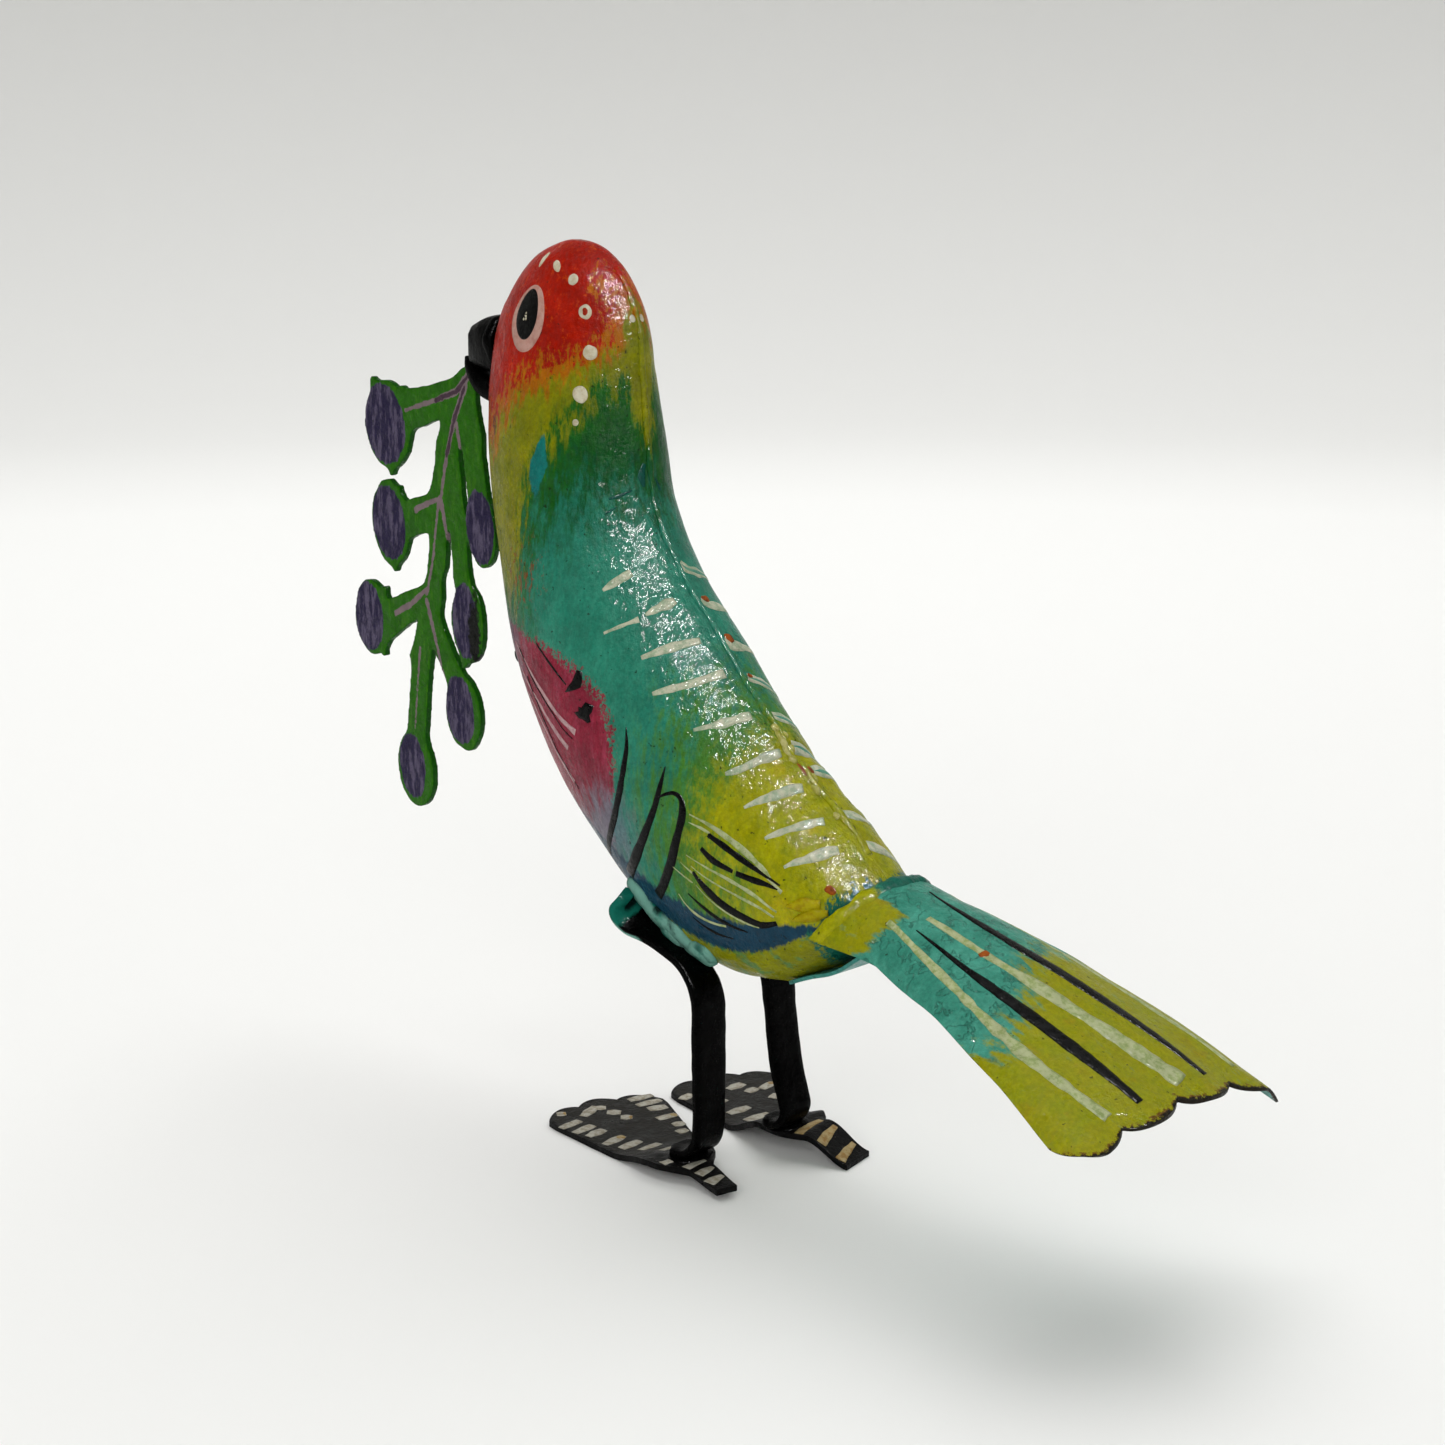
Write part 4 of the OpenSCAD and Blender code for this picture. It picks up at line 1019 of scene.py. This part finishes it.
# Veins as lines of (y, z), with their widths at the two ends
VEINS = [
    ([(-50.0, 97.4), (-53.0, 94.8), (-57.4, 93.4), (-64.2, 91.6)], 1.3, 0.5),
    ([(-51.2, 95.6), (-53.6, 91.0), (-55.4, 86.0), (-57.0, 79.6)], 1.2, 0.5),
    ([(-53.2, 90.6), (-52.2, 85.6), (-51.2, 80.6)], 0.6, 0.3),
    ([(-57.0, 80.2), (-56.0, 76.0), (-55.2, 71.6)], 0.9, 0.4),
    ([(-57.2, 80.0), (-59.6, 79.2), (-62.4, 78.0)], 0.6, 1.0),
    ([(-60.6, 67.0), (-64.0, 64.6), (-67.6, 62.8)], 0.7, 0.9),
    ([(-60.6, 65.6), (-58.6, 59.6), (-57.0, 54.8)], 0.8, 0.4),
    ([(-62.3, 58.6), (-63.2, 52.4), (-63.9, 46.6)], 0.5, 0.25),
    ([(-57.4, 79.6), (-58.8, 72.0), (-60.5, 66.4)], 0.5, 0.5),
]


def to_line(p, a, b, wide_a, wide_b):
    """Distance inside a tapered bar, in mm: positive inside."""
    a, b = np.array(a), np.array(b)
    d = b - a
    t = np.clip(((p - a) @ d) / (d @ d), 0, 1)
    gap = np.linalg.norm(p - a - t[..., None] * d, axis=-1)
    return (wide_a + (wide_b - wide_a) * t) / 2 - gap


def to_oval(p, y, z, w, h, lean):
    turn = math.radians(lean)
    q = p - np.array([y, z])
    q = np.stack([q[..., 0] * math.cos(turn) + q[..., 1] * math.sin(turn),
        q[..., 1] * math.cos(turn) - q[..., 0] * math.sin(turn)], -1)
    q = q / np.array([w / 2, h / 2])
    r = np.maximum(np.linalg.norm(q, axis=-1), 1e-6)
    return (1 - r) * w / 2


def blend(parts, soft):
    """Union of shapes with rounded corners between them."""
    return soft * np.log(sum(np.exp(np.clip(d / soft, -40, 40)) for d in parts))


def sprig_shape(p):
    parts = []
    for line, widths in BRANCHES:
        parts += [to_line(p, a, b, *ends) for a, b, ends in zip(line, line[1:], widths)]
    for y, z, w, h, lean, tips in FRUITS:
        parts.append(to_oval(p, y, z, w, h, lean))
        for ty, tz in tips:
            parts.append(to_line(p, (y + (ty - y) * 0.35, z + (tz - z) * 0.35), (ty, tz), 4.4, 0.9))
    flat = np.stack([p[..., 0], p[..., 1], 0 * p[..., 0]], -1)
    return blend(parts, 0.32) - 0.05 + 0.16 * noise(flat, 3.0, 81) + 0.07 * noise(flat, 1.1, 82)


def sprig_plate():
    """The plate, cut into small squares inside its outline and into parts of squares along it."""
    cell = 0.3
    ys, zs = np.arange(-78.0, -44.0, cell), np.arange(33.0, 101.0, cell)
    grid = np.stack(np.meshgrid(ys, zs, indexing="ij"), -1)
    inside = sprig_shape(grid)
    points, index, faces, edges = [], {}, [], []

    def point(a, b):
        """The number of the point at corner a, or of the place where the outline crosses from a to b."""
        key = (min(a, b), max(a, b))
        if key not in index:
            u, v = inside[key[0]], inside[key[1]]
            t = 0 if a == b else min(0.9, max(0.1, u / (u - v)))
            index[key] = len(points)
            points.append(grid[key[0]] * (1 - t) + grid[key[1]] * t)
        return index[key]

    for i in range(len(ys) - 1):
        for j in range(len(zs) - 1):
            ring = [(i, j), (i + 1, j), (i + 1, j + 1), (i, j + 1)]
            signs = [inside[c] > 0 for c in ring]
            if not any(signs):
                continue
            face, cuts = [], []
            for k in range(4):
                a, b = ring[k], ring[(k + 1) % 4]
                if signs[k]:
                    face.append(point(a, a))
                if signs[k] != signs[(k + 1) % 4]:
                    c = point(a, b)
                    face.append(c)
                    cuts.append((c, signs[k]))
            faces.append(tuple(face))
            # Along the outline, the edge runs from where the square is left to where it is entered again
            for k, (c, leaving) in enumerate(cuts):
                if leaving:
                    edges.append((c, cuts[(k + 1) % len(cuts)][0]))
    flat = np.array(points)
    count = len(flat)
    on_edge = np.zeros(count)
    for a, b in edges:
        on_edge[a] = on_edge[b] = 1
    depth = sprig_shape(flat)
    # Hammered a little, with its edges dressed off
    level = 0.5 - 0.09 * on_edge - 0.03 * smooth(0.5, 0.0, depth)
    swell = 0.05 * noise(np.stack([flat[:, 0], flat[:, 1], 0 * flat[:, 0]], -1), 4, 83)
    front = np.stack([level + swell, flat[:, 0], flat[:, 1]], -1)
    back = np.stack([swell - level, flat[:, 0], flat[:, 1]], -1)
    solid = faces + [tuple(v + count for v in reversed(f)) for f in faces]
    solid += [(b, a, a + count, b + count) for a, b in edges]
    points = np.concatenate([front, back])
    grape = np.max([to_oval(flat, *g) for g in GRAPES], 0)
    veins, cores = [], []
    for line, w0, w1 in VEINS:
        widths = w0 + (w1 - w0) * np.arange(len(line)) / (len(line) - 1)
        veins += [to_line(flat, *bar) for bar in zip(line, line[1:], widths, widths[1:])]
    for line, w0, w1 in VEINS[:2]:
        cores += [to_line(flat, a, b, 0.35 * w0, 0.6 * w0) for a, b in zip(line[:-1], line[1:-1])]
    vein, core = np.max(veins, 0), np.max(cores, 0)
    # Painted shade: a near-black streak down the side of the middle fruit nearest the bird
    painted_shade_streak = np.clip(1.4 - np.hypot((flat[:, 0] + 50.3) / 1.3, (flat[:, 1] - 62.0) / 5.5), 0, 1)
    twice = {"rim": on_edge, "grape_in": grape, "vein_in": vein, "core_in": core, "painted_shade_streak": painted_shade_streak}
    piece = add_mesh("sprig_plate", points, outward(points, solid), LEAF,
        {k: np.tile(v, 2) for k, v in twice.items()}, ["fruit_sprig"])
    piece.data.set_sharp_from_angle(angle=math.radians(50))
    return piece


sprig_plate()
drops = []
for side in (1, -1):
    b = circle(16)
    rings = []
    for x, r in ((0, 0.95), (0.25, 0.92), (0.5, 0.7), (0.65, 0.35)):
        y, z = r * np.cos(b) - 49.5, 1.2 * r * np.sin(b) + 97.8
        rings.append(np.stack([0 * b + side * (0.45 + x), y, z], -1))
    drops.append(tube(rings))
points, faces = join(drops)
add_mesh("sprig_drops", points, faces, BLACK, replaces=["sprig_solder"])


# ---------- Legs ----------

def leg(path, spread, node, name):
    rows = 150
    t = np.linspace(0, len(path) - 1, rows)
    c = catmull(path, t)
    along = unit(np.gradient(c, axis=0))
    over = unit(catmull(spread, t * (len(spread) - 1) / (len(path) - 1)))
    over = unit(over - along * (over * along).sum(-1, keepdims=True))
    normal = np.cross(along, over)
    f = t / t[-1]
    half_w, half_t = 2.6, 0.6
    end = np.sqrt(np.clip(1 - (np.clip(0.055 - f, 0, 1) / 0.055) ** 2, 0.02, 1))
    tab = np.sqrt(np.clip(1 - (np.clip(f - 0.965, 0, 1) / 0.035) ** 2, 0.3, 1))
    half = half_w * end * tab
    outline = soft_square(28, 6, 0.5)
    # The curled end is dished, and its rim stands up round a hollow
    dish = 0.55 * smooth(0.24, 0.05, f)
    grid = np.stack([c + over * (x * half)[:, None] + normal * (z * half_t + x * x * dish)[:, None]
        for x, z in outline], 1)
    grid = grid + 0.09 * jitter(grid, 3.2, 51) + 0.05 * jitter(grid, 1.4, 54)
    points, faces = tube(grid)
    ff = np.append(np.repeat(f, len(outline)), [0, 1])
    xx, zz = np.append(np.tile(outline.T, rows), np.zeros((2, 2)), axis=1)
    teal = field(0.135 - ff, 0.03)
    # Painted highlight: one face of the strip is paler just past the curled end
    pale = np.clip((0.21 - np.abs(ff - 0.16) * 3) / 0.1, 0, 1) * np.clip(zz + 0.6, 0, 1) * 0.8
    # Painted shade: the middle of the dished end is darker
    dark = np.clip((0.075 - np.abs(ff - 0.055)) / 0.05, 0, 1) * (np.abs(xx) < 0.62) * 0.8
    return add_mesh(name, points, faces, LIMB, {"teal": teal, "pale": pale, "dark": dark},
        [node])


hip = [
    (8.2, -10.6, 35.6), (8.3, -11.6, 33.8), (7.9, -11.0, 32.2), (7.2, -8.6, 30.6), (6.7, -5.4, 29.2),
    (6.4, -2.2, 27.7),
]
left_path = hip + [
    (6.4, -0.1, 26.0), (6.4, 0.8, 24.0), (6.4, 1.05, 21.5), (6.4, 1.1, 16.5), (6.4, 1.1, 12.0),
    (6.4, 1.0, 7.4), (6.4, 0.6, 5.0), (6.4, -0.6, 3.5), (6.5, -2.2, 2.9), (6.6, -4.2, 2.8),
]
mirrored = [(-x, y, z) for x, y, z in hip]
right_path = mirrored + [
    (-6.4, -0.3, 26.0), (-6.4, 0.5, 24.0), (-6.4, 0.9, 21.0), (-6.4, 1.5, 16.5), (-6.4, 2.3, 12.0),
    (-6.4, 3.4, 8.4), (-6.4, 3.8, 6.4), (-6.4, 3.0, 4.9), (-6.5, 1.6, 4.3), (-6.6, -0.4, 4.2),
]
lean = [
    (0.84, 0.1, -0.52), (0.86, 0.08, -0.45), (0.96, 0, 0.05), (0.98, 0, 0.15), (1, 0, 0.05), (1, 0, 0),
    (1, 0, 0), (1, 0, 0), (1, 0, 0), (1, 0, 0),
]
leg(left_path, lean, "leg_left", "left_leg_strip")
leg(right_path, [(x, -y, -z) for x, y, z in lean], "leg_right", "right_leg_strip")

for side, word in ((1, "left"), (-1, "right")):
    pads = []
    for u, deg, w, h, lift in (
        (8.62, 139, 4.4, 6.0, 0.9), (8.85, 142, 5.2, 6.5, 1.0), (9.1, 145, 5.4, 6.0, 0.9),
        (9.3, 150, 4.6, 5.0, 1.1), (9.0, 152, 5.0, 6.0, 1.4), (9.4, 144, 3.4, 3.4, 0.7),
    ):
        pads.append(patch(body, (u, side * deg), oval(w, h, 30, 0.22, int(10 * u)), rings=8, height=lift))
    points, faces = join(pads)
    marks = {"teal": np.ones(len(points)) * 0.8, "pale": np.clip(noise(points, 3, 8) * 0.9 + 0.6, 0, 1),
        "dark": np.clip(noise(points, 2, 9) * 0.9 + 0.1, 0, 1)}
    add_mesh(f"{word}_hip_pad", points, faces, LIMB, marks, [f"hip_solder_{word}"])


# ---------- Feet ----------

class Foot:
    """One foot plate in its own frame: ankle at the origin, lobes towards -b, and the rear toe behind."""

    def __init__(self, place, turn, rise, toe_turn, toe_w, toe_fall):
        self.place, self.turn, self.rise = place, math.radians(turn), rise
        self.toe_turn, self.toe_w, self.toe_fall = math.radians(toe_turn), toe_w, toe_fall

    def height(self, b):
        """Height of the plate's top over the ground, by distance b behind the ankle, in mm."""
        ramp = smooth(-8.6, -0.5, b) * self.rise
        toe = self.toe_fall * smooth(4.2, 10.6, b)
        return FOOT_T + ramp - toe

    def top(self, a, b, off=0.0):
        """A point of the upper face: a across, b back from the ankle, both in mm."""
        a, b = np.broadcast_arrays(np.asarray(a, float), np.asarray(b, float))
        z = self.height(b) + off
        # Behind the ankle the plate turns with the toe
        bend = self.toe_turn * smooth(0.5, 4.5, b)
        start = np.clip(b, None, 1.5)
        rest = b - start
        x = a * np.cos(bend) - rest * np.sin(self.toe_turn * smooth(1.0, 4.5, b))
        y = start + rest * np.cos(bend) + a * np.sin(bend)
        warp = 0.1 * noise(np.stack([a, b, 0 * a + self.rise], -1), 5, 61)
        z = z + np.where(b < -8, np.abs(warp), warp)
        ct, st = math.cos(self.turn), math.sin(self.turn)
        return np.stack([x * ct - y * st + self.place[0], x * st + y * ct + self.place[1], z], -1)

    def solid(self):
        rows, cols = 90, 40
        q = np.linspace(-1, 1, cols)
        front = -26.0 + 3.0 * q ** 2 + 1.3 * (1 - np.abs(np.sin(1.5 * np.pi * (q + 1))) ** 0.8)
        t = np.linspace(0, 1, rows)
        b = front[None] + t[:, None] * (10.4 - front[None])
        toe = self.toe_w / 2
        half = np.interp(b, [-26, -20, -14, -8, -4.5, -1.5, 1.0, 3.0, 4.6, 8.0, 10.4],
            [8.7, 8.4, 7.2, 6.0, 5.3, 5.0, 4.2, 2.2 + 0.4 * toe, toe + 0.2, toe, toe - 0.1])
        a = half * q[None]
        top = self.top(a, b)
        bottom = top.copy()
        bottom[..., 2] = np.maximum(bottom[..., 2] - FOOT_T, 0.0)
        points, faces = sheet(top, bottom)
        rim = np.clip((np.abs(q)[None] - 0.93) / 0.1 + 0.4, 0, 1)
        tips = np.clip((0.02 - t)[:, None] / 0.03 + 0.4, 0, 1)
        edge = np.maximum(np.maximum(rim, tips), field(b + 3.5, 3))
        return points, faces, np.concatenate([edge.ravel(), np.ones(edge.size)])


# Place of the ankle, turn, rise at the ankle, then turn, width and fall of the rear toe
left_foot = Foot((7.2, -2.8), -16, 1.4, 4, 3.2, 0.7)
right_foot = Foot((-9.0, 1.2), -22, 2.8, 34, 6.0, 2.8)
for foot, word in ((left_foot, "left"), (right_foot, "right")):
    points, faces, edge = foot.solid()
    add_mesh(f"{word}_foot_plate", points, faces, FOOT, {"edge": edge}, [f"foot_{word}"],
        bevel=0.16)

# Dashes on the feet, as pairs of ends in the plate's own frame
left_rows = [
    ((8.2, -18.6), (4.9, -19.9)), ((7.4, -16.2), (4.1, -17.5)), ((6.4, -14.3), (3.5, -15.4)),
    ((5.7, -10.8), (2.2, -12.3)), ((4.4, -8.6), (1.1, -9.8)), ((2.7, -6.4), (-0.6, -7.6)),
    ((1.3, -3.4), (-1.9, -4.2)), ((6.6, -23.4), (5.4, -23.0)), ((3.8, -21.0), (0.8, -23.4)),
    ((1.1, -22.9), (-0.2, -22.3)), ((0.4, -20.8), (-1.2, -19.8)), ((-0.4, -18.3), (-1.8, -17.6)),
    ((-4.1, -23.2), (-7.8, -23.5)), ((-4.2, -20.9), (-8.0, -21.4)), ((-4.9, -19.0), (-7.6, -18.9)),
    ((-4.4, -15.4), (-7.4, -15.7)), ((-5.2, -12.5), (-6.9, -12.5)), ((-4.5, -10.0), (-6.1, -10.2)),
]
right_rows = [
    ((8.1, -18.7), (6.2, -20.1)), ((0.8, -19.8), (-1.9, -21.0)), ((-1.1, -17.7), (-2.9, -18.7)),
    ((-3.4, -18.1), (-6.0, -19.8)), ((-3.3, -14.3), (-4.7, -15.5)), ((4.3, -11.5), (0.8, -12.7)),
    ((3.2, -8.2), (-0.7, -9.6)), ((1.9, -6.3), (-0.9, -6.9)), ((5.6, -15.2), (2.6, -16.4)),
    ((-5.0, -10.6), (-6.4, -11.0)),
]
chalk, tan = [], []
for foot, rows in ((left_foot, left_rows), (right_foot, right_rows)):
    for i, (a, b) in enumerate(rows):
        line = [a, ((a[0] + b[0]) / 2, (a[1] + b[1]) / 2), b]
        chalk.append(stroke(foot.top, line, 1.5, height=0.05, taper=(0.8, 1.1, 0.8), steps=12, wobble=0.25,
            seed=i + len(chalk)))
        if i % 4 == 3:
            tan.append(stroke(foot.top, [b, (b[0] + 0.3 * (a[0] - b[0]), b[1] + 0.3 * (a[1] - b[1]))], 1.4,
                height=0.065, steps=6, seed=i))
for foot, backs, group in ((left_foot, (0.7, 3.3, 5.6, 7.9), chalk), (right_foot, (3.2, 6.0, 8.8), tan)):
    for i, b in enumerate(backs):
        w = float(np.interp(b, [-1.5, 1.0, 3.0, 4.6, 10.4],
            [4.6, 3.9, foot.toe_w / 2 + 0.5, foot.toe_w / 2, foot.toe_w / 2 - 0.1]))
        group.append(stroke(foot.top, [(w * 0.9, b + 0.5), (0.1 * w, b), (-w * 0.8, b - 0.4)], 1.25,
            height=0.05, taper=(1.1, 1.0, 0.6), steps=12, wobble=0.25, seed=i + 60))
strokes("white_foot_dashes", chalk, CHALK)
strokes("tan_foot_dashes", tan, TAN)

for word, foot, centre in (("left", left_foot, (6.5, -2.2)), ("right", right_foot, (-7.4, 1.6))):
    t = circle(40)
    layers = []
    for r, h in ((1.0, -0.1), (1.0, 0.02), (0.9, 0.2), (0.75, 0.4), (0.55, 0.65), (0.3, 0.85)):
        x, y = centre[0] + 3.2 * r * np.cos(t), centre[1] + 2.4 * r * np.sin(t)
        layers.append(np.stack([x, y, 0 * t + foot.rise + FOOT_T + h], -1))
    layers = np.array(layers)
    layers[1:] += 0.18 * jitter(layers[1:], 1.7, 71)
    points, faces = tube(layers)
    marks = {key: np.zeros(len(points)) for key in ("teal", "pale", "dark")}
    add_mesh(f"{word}_ankle_solder", points, faces, LIMB, marks, [f"foot_solder_{word}"])

# Small dark lumps of old paint along the breast
lumps = []
for i, (u, deg, size) in enumerate((
    (5.78, 150, 0.5), (5.9, 154, 0.4), (6.05, 148, 0.9), (6.12, 156, 0.8), (6.2, 150, 0.6),
)):
    lumps.append(patch(body, (u, deg), oval(size * 1.6, size * 1.8, 14, 0.3, i), rings=4, height=size * 0.55))
strokes("breast_paint_lumps", lumps, INK)

# ---------- Stage, light and camera ----------

def stage_material(name, near_colour):
    p = Nodes(name)
    p.put(p.shader.inputs["Roughness"], 0.75)
    p.put(p.shader.inputs["Specular IOR Level"], 0.0)
    # Painted shade: the paper turns greyer away from the bird, and more so up the wall
    far = p.node("ShaderNodeVectorMath", {0: p.place, 1: (1, 1, 3)}, operation="MULTIPLY").outputs[0]
    length = p.node("ShaderNodeVectorMath", {0: far}, operation="LENGTH").outputs["Value"]
    paper = p.mixed(p.ramp(length, 0.65, 1.7, kind="LINEAR"), (0.86, 0.86, 0.845, 1), (0.52, 0.52, 0.505, 1))
    # Greyer towards +X +Y and high up, which sets what the glossy paint mirrors there
    near = p.node("ShaderNodeVectorMath", {0: p.place, 1: (0.7, 0.7, 0.35)},
        operation="DOT_PRODUCT").outputs["Value"]
    p.put(p.shader.inputs["Base Color"], p.mixed(p.ramp(near, 0.3, 1.1), paper, near_colour))
    p.bump(p.noise(1 / 900, 2.0, 0.5), 0.05, 0.0002)
    return p.m


FLAT_ROWS = 12  # rows of the backdrop that lie flat


def backdrop(name, material, first=0, scale=1.0):
    """A round sheet: flat below the bird, then curving up on every side. Rows before first are left out."""
    rise = np.linspace(0.1, math.pi / 2, 14)
    radii = np.concatenate([np.linspace(0.001, 0.9, FLAT_ROWS), 0.9 + 0.5 * np.sin(rise), [1.4]])
    heights = np.concatenate([np.zeros(FLAT_ROWS), 0.5 * (1 - np.cos(rise)), [1.6]])
    radii, heights = scale * radii[first:], scale * heights[first:]
    m = 96
    t = circle(m)
    points = np.concatenate([np.stack([r * np.cos(t), r * np.sin(t), 0 * t + h], -1) for r,
        h in zip(radii, heights)])
    faces = grid_faces(len(radii), m, wrap=True, flip=True) + ([] if first else [tuple(range(m))])
    mesh = bpy.data.meshes.new(name)
    mesh.from_pydata([tuple(p) for p in points], [], faces)
    mesh.polygons.foreach_set("use_smooth", [True] * len(mesh.polygons))
    mesh.materials.append(material)
    sheet_object = bpy.data.objects.new(name, mesh)
    bpy.context.scene.collection.objects.link(sheet_object)
    return sheet_object


backdrop("studio_backdrop", stage_material("studio_paper", (0.7, 0.7, 0.687, 1)))
# A dark screen just inside the wall, seen only in reflections, so that the bird mirrors no white wall
screen = backdrop("studio_screen", stage_material("screen_cloth", (0.12, 0.12, 0.118, 1)), FLAT_ROWS, 0.99)
screen.visible_camera = screen.visible_diffuse = screen.visible_shadow = False
screen.visible_transmission = screen.visible_volume_scatter = False


def area_light(name, place, target, size, power, size_y=None):
    data = bpy.data.lights.new(name, "AREA")
    data.energy = power
    data.size = size
    if size_y:
        data.shape = "RECTANGLE"
        data.size_y = size_y
    lamp = bpy.data.objects.new(name, data)
    bpy.context.scene.collection.objects.link(lamp)
    lamp.location = place
    lamp.rotation_euler = (Vector(target) - Vector(place)).to_track_quat("-Z", "Y").to_euler()
    return lamp


# A soft box overhead and a soft fill from one side, both too broad to show in the paint
softbox = area_light("top_softbox", (-0.35, -0.35, 1.15), (-0.15, -0.15, 0), 1.4, 15.5)
fill = area_light("fill", (0.75, 0.5, 0.32), (0, 0, 0.07), 0.9, 5.0)
softbox.visible_glossy = fill.visible_glossy = False
# Window panes and glowing frames over the bird's back, seen only as glints in the clear coat
for name, place, wide, tall, power in (
    ("window_pane", (-0.08, 0.5, 0.74), 0.3, 0.2, 5.0), ("frame_left", (0.4, 0.33, 0.74), 0.05, 0.36, 16.0),
    ("frame_middle", (0.1, 0.5, 0.74), 0.03, 0.28, 9.0),
    ("frame_right", (-0.12, 0.49, 0.74), 0.03, 0.28, 11.0),
    ("frame_low", (0.06, 0.62, 0.6), 0.36, 0.025, 6.0), ("window_head", (0.2, 0.66, 0.56), 0.14, 0.12, 5.0),
):
    pane = area_light(name, place, (0, 0, 0.08), wide, power, size_y=tall)
    pane.visible_diffuse = False

world = bpy.data.worlds.new("studio")
bpy.context.scene.world = world
world.use_nodes = True
world.node_tree.nodes["Background"].inputs["Color"].default_value = (1.0, 1.0, 0.99, 1)
world.node_tree.nodes["Background"].inputs["Strength"].default_value = 0.2
bpy.context.scene.view_settings.view_transform = "Standard"

camera_data = bpy.data.cameras.new("camera")
camera_data.lens = 61.26
camera_data.sensor_width = 36
camera_data.clip_start = 0.01
camera = bpy.data.objects.new("camera", camera_data)
bpy.context.scene.collection.objects.link(camera)
# Fitted to the photo: from behind on the bird's left, and a little above
camera.location = shared([210.0, 207.1, 122.9])
camera.rotation_euler = (math.radians(77.5), 0, math.radians(135))
bpy.context.scene.camera = camera
